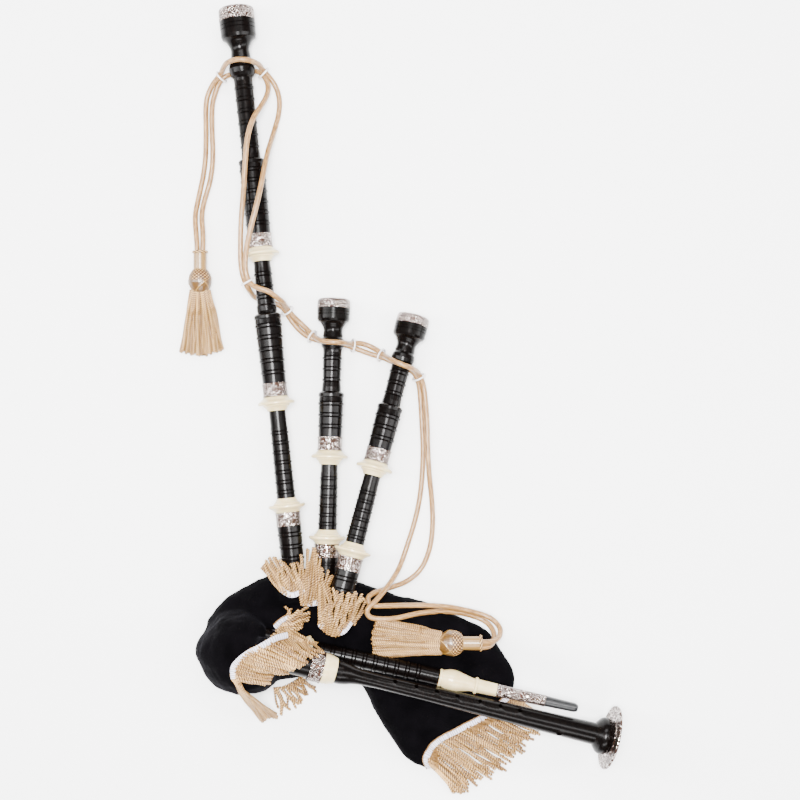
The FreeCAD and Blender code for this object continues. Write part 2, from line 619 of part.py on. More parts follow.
def stock_rooms(extra, mouthward):
    """A cylinder around each stock's inner part, extra wider than the stock and its binding.

    mouthward False stops where the cover's sleeve ends, True runs on past the stock's mouth.
    """
    rooms = (("bass", size.stock_radius, size.bass_stock_length, 98.0),
             ("tenor_a", size.stock_radius, size.tenor_stock_length, 60.0),
             ("tenor_b", size.stock_radius, size.upper_stock_length, 88.0),
             ("chanter", size.chanter_stock_radius, size.chanter_stock_length, 78.0),
             ("blowpipe", size.blow_flange_radius - 1.5, size.blow_stock_length, 56.0))
    cylinders = []
    for line, radius, length, sleeve_end in rooms:
        start, end = LINES[line]
        ahead = (end - start).normalize()
        back = length.value + 6.0 + extra
        front = -2.0 if mouthward else sleeve_end
        cylinders.append(Part.makeCylinder(radius.value + 2.2 + extra, back - front,
                                           start - ahead * back, ahead))
    return cylinders


def largest_solid(label, shape):
    shell = doc.addObject("Part::Feature", label)
    shell.Shape = max(shape.Solids, key=lambda solid: solid.Volume)
    return keep(shell, label)


def cover_and_bag():
    """The velvet cover with a sleeve around each stock, and the airtight bag inside it."""
    wall = size.cover_wall.value
    outer = soft_form(0.0).fuse(stock_rooms(wall, False))
    cover = outer.cut(soft_form(wall)).cut(stock_rooms(0.0, True))
    largest_solid("bag_cover", cover)
    inside = wall + size.bag_gap.value
    bag = soft_form(inside).cut(soft_form(inside + size.bag_wall.value)).cut(stock_rooms(0.0, True))
    largest_solid("bag", bag)


def stock_ties():
    ties = []
    for line, radius, length in (("bass", size.stock_end_radius, size.bass_stock_length),
                                 ("tenor_a", size.stock_end_radius, size.tenor_stock_length),
                                 ("tenor_b", size.stock_end_radius, size.upper_stock_length),
                                 ("chanter", size.chanter_stock_radius, size.chanter_stock_length),
                                 ("blowpipe", size.blow_stock_radius, size.blow_stock_length)):
        ties.append(tube("tie_" + line, line, -length + 2.0, -length + 6.0, radius + 1.8, radius + 0.03))
    group("stock_ties", ties)


def skirt(name, line, start, end, first_radius, last_radius, spread):
    """A fringe as a thin conical apron over the top of a stick, spread to both sides of straight up."""
    thick = 1.8
    body = turned(name, line, [(start, first_radius + thick), (end, last_radius + thick)],
                  [(start, first_radius), (end, last_radius)])
    turn = next(f for f in body.Group if f.TypeId == "PartDesign::Revolution")
    turn.Angle = spread
    body.Placement = level_turn(line) * Placement(Vector(), Rotation(Vector(1, 0, 0), 90 - spread / 2))
    return body


def fringes():
    group("stock_fringes", [skirt("bass_fringe", "bass", -112.0, -80.0, 19.6, 16.2, 110),
                            skirt("tenor_a_fringe", "tenor_a", -70.0, -40.0, 19.4, 16.2, 60),
                            skirt("tenor_b_fringe", "tenor_b", -103.0, -62.0, 19.6, 16.2, 150),
                            skirt("blowpipe_fringe", "blowpipe", -60.0, -22.0, 18.4, 13.9, 70)])
    keep(skirt("neck_fringe", "chanter", -86.0, -34.0, 27.0, 19.8, 150), "neck_fringe")
    outline = ((118, -151), (120, -138), (130, -124), (165, -107), (190, -96), (217, -64),
               (232, -70), (258, -118), (250, -135), (212, -167), (160, -193), (120, -162))
    wire = Part.makePolygon([Vector(x, y, 0) for x, y in outline + outline[:1]])
    rear = doc.addObject("Part::Feature", "rear_fringe")
    rear.Shape = Part.Face(wire).extrude(Vector(0, 0, 7))
    keep(rear, "rear_fringe")


# ---------------------------------------------------------------- cords, rings and tassels

# Each drone cord's route, from the left tassel's collar to the right tassel's.
# The front cord goes over every drone at its loop, the back cord under it.
FRONT_CORD = (
    (-179.2, 492.3, 15), (-180.8, 513, 13.5), (-184, 537.5, 5), (-179, 561.5, 3.5), (-170.5, 601, 3.5),
    (-169.5, 643, 3.5), (-170.5, 683.5, 3.5), (-163, 701, 6), (-155, 710.5, 10.5), (-149, 716, 15),
    (-145.5, 721, 25), (-139, 725, 40.5), (-126.5, 726.5, 50), (-113, 726, 50), (-104, 725, 40),
    (-99.5, 724, 26), (-98, 721.5, 14.5), (-91, 715.5, 7), (-81, 702.5, 3.5), (-76, 684.5, 3.5),
    (-77.5, 665.5, 3.5), (-82.5, 647.5, 6), (-86, 630, 20), (-89, 614, 35), (-91.5, 594.5, 47),
    (-95, 571, 57), (-100, 547, 60), (-106, 524, 59.5), (-112, 500.5, 56.5), (-115.5, 479, 53),
    (-115, 461.5, 51), (-109.5, 448, 51.5), (-99, 442.5, 56.5), (-86, 439, 56), (-76, 431.5, 51.5),
    (-69.5, 426.5, 38), (-67.5, 422.5, 22.5), (-65.5, 418.5, 13.5), (-60.5, 412, 9.5), (-51, 403, 6.5),
    (-41, 393.5, 8), (-33, 385.5, 13), (-28.5, 382, 26), (-20.5, 377.5, 40.5), (-7, 376.5, 47),
    (5, 376, 40.5), (11.5, 375, 26.5), (15, 375, 14), (24.5, 377, 8), (35.5, 374, 6), (47, 368, 8),
    (55, 361.5, 14), (59, 358.5, 28), (65, 354.5, 44), (77, 349, 52.5), (89.5, 344.5, 45.5),
    (96.5, 341, 30), (99.5, 338, 14.5), (105.5, 326, 7.5), (108.5, 303.5, 8.5), (110.5, 273, 11),
    (111, 244, 11), (112.5, 213.5, 10.5), (116.5, 179, 4.5), (118, 147.5, 3.5), (114.5, 116, 3.5),
    (103.5, 89.5, 3.5), (85, 74.5, 5.5), (68.5, 69.5, 14), (56, 67.5, 26), (46.5, 65.5, 38), (38.4, 62, 43.5),
    (36.2, 58.2, 46), (36.7, 53.9, 48), (39.7, 50.7, 49), (47.5, 49.4, 49.3), (60, 49.5, 46),
    (81, 49, 40), (109.5, 48.5, 34), (137, 46, 27), (159.5, 40.5, 21), (178.5, 35.5, 19),
    (193, 29.5, 21), (202.5, 19, 29), (200, 9, 41), (190, 5.5, 53), (177.2, 6.1, 58))
BACK_CORD = (
    (-172.4, 492.3, 15), (-172, 513, 13.5), (-175.5, 537.5, 5), (-171.5, 559, 3.5), (-164, 582, 3.5),
    (-160.5, 611, 3.5), (-162, 644, 3.5), (-162.5, 677, 3.5), (-158, 694, 3.5), (-153, 706, 5.5),
    (-146.5, 713, 8.5), (-136.5, 717.5, 6), (-123.5, 720, 4), (-110.5, 721.5, 5), (-101.5, 719.5, 8.5),
    (-94, 712, 9.5), (-89.5, 699.5, 12), (-91.5, 685, 22), (-98.5, 669, 36), (-106, 655, 45),
    (-111, 638.5, 50), (-114, 620, 51), (-115.5, 598, 50.5), (-117, 573, 50), (-119, 547, 51.5),
    (-121, 520, 50.5), (-121.5, 493, 49), (-121.5, 472, 47.5), (-118.3, 456, 46),
    (-113, 443.5, 41.5), (-110, 438.5, 29), (-108, 434.5, 18), (-100, 431, 13), (-86.5, 428, 12),
    (-76, 424.5, 11), (-68.5, 417.5, 8), (-64, 408.5, 5), (-55, 396.5, 4), (-44, 386.5, 5.5),
    (-34, 381.5, 7), (-23.5, 379, 5), (-9, 378, 4), (4.5, 375, 5), (13.5, 372, 7.5), (26, 367.5, 6),
    (40.5, 362, 6), (54, 358.5, 8), (64.5, 353.5, 8.5), (77.5, 349, 8.5), (89.5, 343, 8),
    (97, 335, 7.5), (101, 320, 4.5), (102.5, 298.5, 4), (104, 271.5, 4), (105.5, 242.5, 4),
    (104.5, 212, 3.5), (101.5, 180.5, 3.5), (94.5, 149, 3.5), (85, 119.5, 3.5), (77, 96, 7),
    (69.5, 83.5, 19.5), (61, 72.5, 34), (51, 61, 47), (43.5, 54, 54), (35.9, 47.5, 57.5), (35.2, 41.2, 57),
    (39, 36.2, 55.5), (47.5, 34.3, 54.5), (58, 34, 54), (72.5, 34.5, 51), (97, 39.5, 42),
    (123.5, 40.5, 29), (148.5, 38, 19.5), (168, 32.5, 13), (182.5, 27, 13), (192, 18.5, 20),
    (195, 8, 33), (189, 0.5, 50), (177.2, -1.1, 58))
# where each ring holds the two cords together, and the way the cords run through it
RINGS = (((-149.5, 712.7, 10.4), (0.71, 0.62, 0.33)), ((-96.6, 717.6, 10.0), (0.7, -0.65, -0.3)),
         ((-113.3, 451.1, 47.8), (0.49, -0.86, -0.15)), ((-66.7, 417.3, 10.5), (0.52, -0.71, -0.47)),
         ((-34.9, 384.7, 10.0), (0.8, -0.49, 0.35)), ((16.4, 373.6, 10.0), (0.93, -0.11, -0.36)),
         ((52.4, 361.2, 10.2), (0.82, -0.42, 0.39)), ((99.5, 333.4, 10.0), (0.41, -0.84, -0.34)))


def rounded_route(points):
    """Straight runs joined by tangent arcs, each arc as large as its two runs allow."""
    spots = [Vector(*point) for point in points]
    edges = []
    radii = []
    start = spots[0]
    for before, corner, after in zip(spots, spots[1:], spots[2:]):
        back = before - corner
        ahead = after - corner
        reach = 0.45 * min(back.Length, ahead.Length)
        back.normalize()
        ahead.normalize()
        half_turn = (math.pi - back.getAngle(ahead)) / 2
        radius = reach / math.tan(half_turn)
        inward = (back + ahead).normalize()
        middle = corner + inward * (radius / math.cos(half_turn) - radius)
        edges.append(Part.LineSegment(start, corner + back * reach).toShape())
        edges.append(Part.Arc(corner + back * reach, middle, corner + ahead * reach).toShape())
        start = corner + ahead * reach
        radii.append(radius)
    edges.append(Part.LineSegment(start, spots[-1]).toShape())
    return Part.Wire(edges), radii


def drone_cord(label, points):
    route, radii = rounded_route(points)
    ahead = Vector(*points[1]) - Vector(*points[0])
    section = Part.Wire([Part.makeCircle(size.cord_radius.value, Vector(*points[0]), ahead)])
    cord = doc.addObject("Part::Feature", label)
    cord.Shape = route.makePipeShell([section], True, False)
    expected = math.pi * size.cord_radius.value ** 2 * route.Length
    print("%s: %.0f mm long, volume %.0f of %.0f mm3, radii from %.0f mm: %s" % (
        label, route.Length, cord.Shape.Volume, expected, min(radii),
        " ".join("%.0f" % radius for radius in radii)))
    return keep(cord, label)


def cord_rings():
    rings = []
    for number, (centre, heading) in enumerate(RINGS, start=1):
        ring = doc.addObject("Part::Torus", "ring_%d" % number)
        ring.setExpression("Radius1", size.ring_radius.text)
        ring.setExpression("Radius2", size.ring_section.text)
        ring.Placement = Placement(Vector(*centre), Rotation(Vector(0, 0, 1), Vector(*heading)))
        rings.append(ring)
    group("cord_rings", rings)


def tassel(line, ball, stations):
    """Collar, wound neck and ball turned on the tassel's line, then its hank of strands.

    stations are (position, half width, half height, shift aside, shift up) along the strands.
    """
    neck = size.tassel_neck
    head = turned(line + "_head", line,
                  [(0.0, neck + 0.9), (2.5, neck + 0.9), (2.5, neck), (22.0, neck), (24.0, neck + 2.0),
                   (30.0, ball - 2.2), (36.0, ball), (42.0, ball - 0.6), (47.0, ball - 2.6),
                   (52.0, ball - 4.6)])
    hoops = []
    for position, wide, high, aside, up in stations:
        centre = Vector(position, aside, up)
        ellipse = Part.Ellipse(centre + Vector(0, wide, 0), centre + Vector(0, 0, high), centre)
        hoops.append(Part.Wire([ellipse.toShape()]))
    strands = doc.addObject("Part::Feature", line + "_strands")
    strands.Shape = Part.makeLoft(hoops, True, False)
    strands.Placement = level_turn(line)
    whole = doc.addObject("Part::MultiFuse", line)
    whole.Shapes = [head, strands]
    keep(whole, line)


def cords():
    drone_cord("drone_cord_a", FRONT_CORD)
    drone_cord("drone_cord_b", BACK_CORD)
    cord_rings()
    tassel("tassel_left", size.left_ball, ((46.0, 10.5, 10.0, 0.0, 0.0), (72.0, 17.0, 11.5, 0.0, -2.5),
                                           (102.0, 23.0, 10.5, 0.0, -4.0), (134.8, 27.0, 9.5, 0.0, -5.0)))
    tassel("tassel_right", size.right_ball, ((46.0, 11.0, 10.8, 0.0, 0.0), (75.0, 17.5, 10.0, -1.5, -1.0),
                                             (105.0, 19.0, 9.0, -4.0, -0.5), (136.5, 17.0, 8.0, -7.0, 0.0)))


def check_pieces():
    """Stops before anything is written if an object failed or a sub-part is no valid solid."""
    for thing in doc.Objects:
        if "Invalid" in thing.State or "Error" in thing.State:
            raise RuntimeError("%s failed: %s" % (thing.Name, thing.State))
    for piece in nodes:
        if piece.Shape.isNull() or not piece.Shape.isValid() or not piece.Shape.Solids:
            raise RuntimeError("%s has no valid solid" % piece.Label)


drones()
chanter()
blowpipe()
cover_and_bag()
stock_ties()
fringes()
cords()
doc.recompute()
check_pieces()

os.makedirs("parts", exist_ok=True)
for piece in nodes:
    piece.Shape.exportStep("parts/%s.step" % piece.Label)
print(len(nodes), "sub-parts written")
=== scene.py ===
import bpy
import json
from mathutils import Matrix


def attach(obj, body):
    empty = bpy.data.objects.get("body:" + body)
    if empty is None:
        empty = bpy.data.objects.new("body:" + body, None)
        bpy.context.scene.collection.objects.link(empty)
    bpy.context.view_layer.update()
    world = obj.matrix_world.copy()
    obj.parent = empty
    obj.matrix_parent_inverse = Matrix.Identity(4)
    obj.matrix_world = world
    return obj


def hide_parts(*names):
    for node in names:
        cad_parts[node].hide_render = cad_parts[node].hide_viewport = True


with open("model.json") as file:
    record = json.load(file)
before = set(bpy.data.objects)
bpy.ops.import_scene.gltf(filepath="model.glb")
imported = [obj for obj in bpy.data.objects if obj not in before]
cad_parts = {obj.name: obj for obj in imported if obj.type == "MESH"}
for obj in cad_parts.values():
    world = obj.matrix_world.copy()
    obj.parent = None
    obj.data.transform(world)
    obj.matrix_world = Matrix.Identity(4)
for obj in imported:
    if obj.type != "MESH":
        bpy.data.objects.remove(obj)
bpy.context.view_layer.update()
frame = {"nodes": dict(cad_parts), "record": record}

import json
import math
import random

import bpy
import numpy as np
from mathutils import Vector, noise
from mathutils.bvhtree import BVHTree

# Highland bagpipes laid flat, seen straight down. Lengths in the lists below are
# in millimetres, as in the part's own source; MM turns them into metres.
MM = 0.001
rng = random.Random(7)


# ---------------------------------------------------------------- camera, light, floor

# the camera looks straight down: sensor and lens in millimetres, its place in metres
SENSOR_WIDTH = 36.0
LENS = 70.9
CAMERA_PLACE = (0.0761, 0.3046, 2.0)
# each light's place, width, height and watts; all of them point at LIT_SPOT
LIT_SPOT = (0.08, 0.3, 0.0)
LIGHTS = {
    "overhead": ((0.0, 0.4, 2.7), 0.7, 0.7, 290),
    "strip_left": ((-1.5, 0.55, 1.5), 0.4, 2.6, 80),
    "strip_right": ((1.7, 0.2, 1.4), 0.4, 2.4, 60),
    "top_soft": ((0.1, 2.0, 1.9), 2.0, 0.6, 75),
    "front_soft": ((0.1, -1.5, 1.7), 2.0, 0.5, 60),
}
WORLD_STRENGTH = 0.35


def place_camera():
    data = bpy.data.cameras.new("camera")
    data.sensor_width = SENSOR_WIDTH
    data.lens = LENS
    camera = bpy.data.objects.new("camera", data)
    camera.location = CAMERA_PLACE
    bpy.context.scene.collection.objects.link(camera)
    bpy.context.scene.camera = camera


def area_light(name, place, width, height, watts):
    data = bpy.data.lights.new(name, "AREA")
    data.shape = "RECTANGLE"
    data.size = width
    data.size_y = height
    data.energy = watts
    light = bpy.data.objects.new(name, data)
    light.location = place
    light.rotation_euler = (Vector(LIT_SPOT) - Vector(place)).to_track_quat("-Z", "Y").to_euler()
    bpy.context.scene.collection.objects.link(light)


def place_lights():
    for name, settings in LIGHTS.items():
        area_light(name, *settings)
    world = bpy.data.worlds.new("studio")
    world.use_nodes = True
    background = world.node_tree.nodes["Background"]
    background.inputs["Color"].default_value = (1.0, 1.0, 1.0, 1.0)
    background.inputs["Strength"].default_value = WORLD_STRENGTH
    bpy.context.scene.world = world


# ---------------------------------------------------------------- cords

CORD_RADIUS = 3.3 * MM
# Each drone cord's route, from the left tassel's collar to the right tassel's.
FRONT_CORD = (
    (-178.6, 468, 15), (-179.2, 492.3, 15), (-180.8, 513, 13.5), (-184, 537.5, 5),
    (-179, 561.5, 3.5), (-170.5, 601, 3.5),
    (-169.5, 643, 3.5), (-170.5, 683.5, 3.5), (-163, 701, 6), (-155, 710.5, 10.5), (-149, 716, 15),
    (-145.5, 721, 25), (-139, 725, 40.5), (-126.5, 726.5, 50), (-113, 726, 50), (-104, 725, 40),
    (-99.5, 724, 26), (-98, 721.5, 14.5), (-91, 715.5, 7), (-81, 702.5, 3.5), (-76, 684.5, 3.5),
    (-77.5, 665.5, 3.5), (-82.5, 647.5, 6), (-86, 630, 20), (-89, 614, 35), (-91.5, 594.5, 47),
    (-95, 571, 57), (-100, 547, 60), (-106, 524, 59.5), (-112, 500.5, 56.5), (-115.5, 479, 53),
    (-115, 461.5, 51), (-109.5, 448, 51.5), (-99, 442.5, 56.5), (-86, 439, 56), (-76, 431.5, 51.5),
    (-69.5, 426.5, 38), (-67.5, 422.5, 22.5), (-65.5, 418.5, 13.5), (-60.5, 412, 9.5), (-51, 403, 6.5),
    (-41, 393.5, 8), (-33, 385.5, 13), (-28.5, 382, 26), (-20.5, 377.5, 40.5), (-7, 376.5, 47),
    (5, 376, 40.5), (11.5, 375, 26.5), (15, 375, 14), (24.5, 377, 8), (35.5, 374, 6), (47, 368, 8),
    (55, 361.5, 14), (59, 358.5, 28), (65, 354.5, 44), (77, 349, 52.5), (89.5, 344.5, 45.5),
    (96.5, 341, 30), (99.5, 338, 14.5), (105.5, 326, 7.5), (108.5, 303.5, 8.5), (110.5, 273, 11),
    (111, 244, 11), (112.5, 213.5, 10.5), (116.5, 179, 4.5), (118, 147.5, 3.5), (114.5, 116, 3.5),
    (103.5, 89.5, 3.5), (85, 74.5, 5.5), (68.5, 69.5, 14), (56, 67.5, 26), (46.5, 65.5, 38), (38.4, 62, 43.5),
    (36.2, 58.2, 46), (36.7, 53.9, 48), (39.7, 50.7, 49), (47.5, 49.4, 49.3), (60, 49.5, 46),
    (81, 49, 40), (109.5, 48.5, 34), (137, 46, 27), (159.5, 40.5, 21), (178.5, 35.5, 19),
    (193, 29.5, 21), (202.5, 19, 29), (200, 9, 41), (190, 5.5, 53), (177.2, 6.1, 58), (153, 6, 58))
BACK_CORD = (
    (-172.8, 468, 15), (-172.4, 492.3, 15), (-172, 513, 13.5), (-175.5, 537.5, 5),
    (-171.5, 559, 3.5), (-164, 582, 3.5),
    (-160.5, 611, 3.5), (-162, 644, 3.5), (-162.5, 677, 3.5), (-158, 694, 3.5), (-153, 706, 5.5),
    (-146.5, 713, 8.5), (-136.5, 717.5, 6), (-123.5, 720, 4), (-110.5, 721.5, 5), (-101.5, 719.5, 8.5),
    (-94, 712, 9.5), (-89.5, 699.5, 12), (-91.5, 685, 22), (-98.5, 669, 36), (-106, 655, 45),
    (-111, 638.5, 50), (-114, 620, 51), (-115.5, 598, 50.5), (-117, 573, 50), (-119, 547, 51.5),
    (-121, 520, 50.5), (-121.5, 493, 49), (-121.5, 472, 47.5), (-118.3, 456, 46),
    (-113, 443.5, 41.5), (-110, 438.5, 29), (-108, 434.5, 18), (-100, 431, 13), (-86.5, 428, 12),
    (-76, 424.5, 11), (-68.5, 417.5, 8), (-64, 408.5, 5), (-55, 396.5, 4), (-44, 386.5, 5.5),
    (-34, 381.5, 7), (-23.5, 379, 5), (-9, 378, 4), (4.5, 375, 5), (13.5, 372, 7.5), (26, 367.5, 6),
    (40.5, 362, 6), (54, 358.5, 8), (64.5, 353.5, 8.5), (77.5, 349, 8.5), (89.5, 343, 8),
    (97, 335, 7.5), (101, 320, 4.5), (102.5, 298.5, 4), (104, 271.5, 4), (105.5, 242.5, 4),
    (104.5, 212, 3.5), (101.5, 180.5, 3.5), (94.5, 149, 3.5), (85, 119.5, 3.5), (77, 96, 7),
    (69.5, 83.5, 19.5), (61, 72.5, 34), (51, 61, 47), (43.5, 54, 54), (35.9, 47.5, 57.5), (35.2, 41.2, 57),
    (39, 36.2, 55.5), (47.5, 34.3, 54.5), (58, 34, 54), (72.5, 34.5, 51), (97, 39.5, 42),
    (123.5, 40.5, 29), (148.5, 38, 19.5), (168, 32.5, 13), (182.5, 27, 13), (192, 18.5, 20),
    (195, 8, 33), (189, 0.5, 50), (177.2, -1.1, 58), (153, 0, 58))


def cord_curve(name, points):
    """A round cord along a smooth spline whose control points are the route's points."""
    data = bpy.data.curves.new(name, "CURVE")
    data.dimensions = "3D"
    data.resolution_u = 10
    spline = data.splines.new("NURBS")
    spline.points.add(len(points) - 1)
    for spot, point in zip(spline.points, points):
        spot.co = (point[0] * MM, point[1] * MM, point[2] * MM, 1.0)
    spline.order_u = 3
    spline.use_endpoint_u = True
    data.bevel_depth = CORD_RADIUS
    data.bevel_resolution = 5
    data.use_fill_caps = True
    cord = bpy.data.objects.new(name, data)
    bpy.context.scene.collection.objects.link(cord)
    return cord


# ---------------------------------------------------------------- materials

class Finish:
    """A node material on one Principled shader, with short calls for the usual pieces."""

    def __init__(self, name, colour, roughness, **settings):
        self.material = bpy.data.materials.new(name)
        self.material.use_nodes = True
        self.tree = self.material.node_tree
        self.shader = self.tree.nodes["Principled BSDF"]
        self.shader.inputs["Base Color"].default_value = (*colour, 1.0)
        self.shader.inputs["Roughness"].default_value = roughness
        for key, value in settings.items():
            self.shader.inputs[key.replace("_", " ")].default_value = value
        self.bumps = None

    def node(self, kind, **values):
        made = self.tree.nodes.new(kind)
        for key, value in values.items():
            if hasattr(made, key):
                setattr(made, key, value)
            else:
                made.inputs[key.replace("_", " ")].default_value = value
        return made

    def link(self, source, target):
        self.tree.links.new(source, target)

    def place(self, stretch=(1.0, 1.0, 1.0), kind="Object"):
        spot = self.node("ShaderNodeTexCoord")
        mapping = self.node("ShaderNodeMapping")
        mapping.inputs["Scale"].default_value = stretch
        self.link(spot.outputs[kind], mapping.inputs["Vector"])
        return mapping.outputs["Vector"]

    def texture(self, kind, where, **values):
        made = self.node(kind, **values)
        self.link(where, made.inputs["Vector"])
        return made.outputs["Fac"] if "Fac" in made.outputs else made.outputs["Distance"]

    def ramp(self, source, stops):
        made = self.node("ShaderNodeValToRGB")
        elements = made.color_ramp.elements
        while len(elements) < len(stops):
            elements.new(0.5)
        for element, (position, colour) in zip(elements, stops):
            element.position = position
            element.color = (*colour, 1.0)
        self.link(source, made.inputs["Fac"])
        return made.outputs["Color"]

    def paint(self, source, stops):
        self.link(self.ramp(source, stops), self.shader.inputs["Base Color"])

    def gloss(self, source, low, high):
        made = self.node("ShaderNodeMapRange")
        made.inputs["To Min"].default_value = low
        made.inputs["To Max"].default_value = high
        self.link(source, made.inputs["Value"])
        self.link(made.outputs["Result"], self.shader.inputs["Roughness"])

    def tone(self, noise_scale, share):
        """The mesh's tone attribute, which is painted shade in the relief's hollows and painted highlight on
        its crests, with a share of noise taken off it.
        """
        painted_relief_shade = self.node("ShaderNodeAttribute", attribute_name="tone")
        speckle = self.texture("ShaderNodeTexNoise", self.place(), Scale=noise_scale, Detail=2.0)
        less = self.node("ShaderNodeMath", operation="MULTIPLY_ADD")
        less.inputs[1].default_value = -share
        self.link(speckle, less.inputs[0])
        self.link(painted_relief_shade.outputs["Fac"], less.inputs[2])
        return less.outputs[0]

    def bump(self, source, depth, strength=1.0):
        made = self.node("ShaderNodeBump")
        made.inputs["Distance"].default_value = depth
        made.inputs["Strength"].default_value = strength
        self.link(source, made.inputs["Height"])
        if self.bumps is not None:
            self.link(self.bumps, made.inputs["Normal"])
        self.bumps = made.outputs["Normal"]
        self.link(self.bumps, self.shader.inputs["Normal"])


def blackwood():
    """Polished blackwood: nearly black, brown where the grain opens."""
    finish = Finish("blackwood", (0.006, 0.004, 0.0035), 0.24, Specular_IOR_Level=0.1)
    grain = finish.texture("ShaderNodeTexNoise", finish.place((60.0, 9.0, 60.0)), Scale=9.0, Detail=6.0,
                           Distortion=0.6)
    finish.paint(grain, ((0.3, (0.0008, 0.0006, 0.0006)), (0.6, (0.0018, 0.0011, 0.0009)),
                         (0.85, (0.007, 0.003, 0.002))))
    finish.gloss(grain, 0.17, 0.3)
    finish.bump(grain, 0.00012, 0.5)
    return finish.material


def imitation_ivory():
    finish = Finish("imitation_ivory", (0.62, 0.52, 0.31), 0.3, Coat_Weight=0.2, Coat_Roughness=0.12,
                    Subsurface_Weight=0.12, Subsurface_Scale=0.004)
    cloud = finish.texture("ShaderNodeTexNoise", finish.place((14.0, 14.0, 14.0)), Scale=4.0, Detail=4.0)
    finish.paint(cloud, ((0.3, (0.52, 0.40, 0.19)), (0.6, (0.62, 0.50, 0.26)), (0.8, (0.68, 0.57, 0.34))))
    finish.bump(finish.texture("ShaderNodeTexNoise", finish.place(), Scale=900.0), 0.00004, 0.3)
    return finish.material


def engraved_silver(name, size):
    """Silver with chased scrolls: curling ridges over a finer stippled ground."""
    finish = Finish(name, (0.78, 0.72, 0.68), 0.2, Metallic=1.0)
    where = finish.place()
    warp = finish.node("ShaderNodeTexNoise", Scale=size * 0.35, Detail=2.0)
    finish.link(where, warp.inputs["Vector"])
    cells = finish.node("ShaderNodeTexVoronoi", Scale=size)
    cells.feature = "SMOOTH_F1"
    bend = finish.node("ShaderNodeMixRGB", blend_type="LINEAR_LIGHT")
    bend.inputs["Fac"].default_value = 0.02
    finish.link(where, bend.inputs["Color1"])
    finish.link(warp.outputs["Color"], bend.inputs["Color2"])
    finish.link(bend.outputs["Color"], cells.inputs["Vector"])
    rings = finish.node("ShaderNodeMath", operation="SINE")
    scale = finish.node("ShaderNodeMath", operation="MULTIPLY")
    scale.inputs[1].default_value = 26.0
    finish.link(cells.outputs["Distance"], scale.inputs[0])
    finish.link(scale.outputs[0], rings.inputs[0])
    finish.paint(rings.outputs[0], ((0.05, (0.045, 0.024, 0.018)), (0.45, (0.24, 0.17, 0.14)),
                                    (0.9, (0.60, 0.54, 0.51))))
    finish.bump(rings.outputs[0], 0.00035, 0.8)
    finish.gloss(rings.outputs[0], 0.34, 0.16)
    return finish.material


def plain_cane():
    finish = Finish("cane", (0.7, 0.56, 0.3), 0.5)
    grain = finish.texture("ShaderNodeTexNoise", finish.place((200.0, 20.0, 200.0)), Scale=6.0)
    finish.paint(grain, ((0.3, (0.55, 0.42, 0.2)), (0.7, (0.76, 0.62, 0.36))))
    finish.bump(grain, 0.0001)
    return finish.material


def waxed_hemp():
    finish = Finish("waxed_hemp", (0.6, 0.46, 0.2), 0.6)
    turns = finish.texture("ShaderNodeTexNoise", finish.place((40.0, 1100.0, 40.0)), Scale=1.0, Detail=2.0)
    finish.paint(turns, ((0.3, (0.42, 0.30, 0.12)), (0.7, (0.70, 0.56, 0.28))))
    finish.bump(turns, 0.0003)
    return finish.material


def velvet():
    """Black velvet: no gloss, a grazing sheen, and a pile that lies in patches."""
    finish = Finish("velvet", (0.0025, 0.0022, 0.0028), 0.95, Sheen_Weight=0.04, Sheen_Roughness=0.35,
                    Specular_IOR_Level=0.02)
    finish.shader.inputs["Sheen Tint"].default_value = (0.25, 0.24, 0.30, 1.0)
    patch = finish.texture("ShaderNodeTexNoise", finish.place(), Scale=34.0, Detail=5.0)
    finish.paint(patch, ((0.35, (0.0005, 0.0004, 0.0006)), (0.75, (0.0016, 0.0013, 0.0018))))
    finish.bump(finish.texture("ShaderNodeTexNoise", finish.place(), Scale=1500.0), 0.0003, 0.4)
    return finish.material


def satin_cord():
    """Champagne satin: bright threads run along the cord and turn slowly round it."""
    finish = Finish("satin_cord", (0.42, 0.24, 0.11), 0.36, Specular_IOR_Level=0.6)
    threads = finish.texture("ShaderNodeTexNoise", finish.place((220.0, 26.0, 1.0), kind="UV"), Scale=1.0,
                             Detail=2.0)
    finish.paint(threads, ((0.3, (0.085, 0.034, 0.007)), (0.5, (0.22, 0.108, 0.03)),
                           (0.7, (0.42, 0.24, 0.085))))
    finish.bump(threads, 0.00025, 0.6)
    return finish.material


def bullion(name, groove_shade, light, crest_highlight):
    """Twisted gold thread: fine ply lines, with painted shade in the grooves between plies and painted
    highlight on the crests.
    """
    finish = Finish(name, light, 0.42, Specular_IOR_Level=0.5)
    finish.paint(finish.tone(160.0, 0.3), ((0.12, groove_shade), (0.42, light), (0.72, crest_highlight)))
    finish.bump(finish.texture("ShaderNodeTexNoise", finish.place(), Scale=2600.0), 0.0002, 0.5)
    return finish.material


def satin_gold():
    finish = Finish("satin_gold", (0.30, 0.16, 0.032), 0.3, Specular_IOR_Level=0.7)
    # by the tone: painted shade in the hollows of the winding and painted highlight on its raised threads
    finish.paint(finish.tone(500.0, 0.3), ((0.0, (0.07, 0.03, 0.004)), (0.4, (0.20, 0.10, 0.016)),
                                           (0.9, (0.42, 0.25, 0.07))))
    finish.bump(finish.texture("ShaderNodeTexNoise", finish.place(), Scale=900.0), 0.0001, 0.5)
    return finish.material


def white_tape():
    finish = Finish("white_tape", (0.8, 0.78, 0.82), 0.55, Sheen_Weight=0.2)
    # painted shade in the valleys between the ribs, white on their crests
    finish.paint(finish.tone(320.0, 0.2), ((0.1, (0.17, 0.15, 0.21)), (0.6, (0.66, 0.63, 0.70))))
    finish.bump(finish.texture("ShaderNodeTexNoise", finish.place(), Scale=900.0), 0.0002, 0.4)
    return finish.material


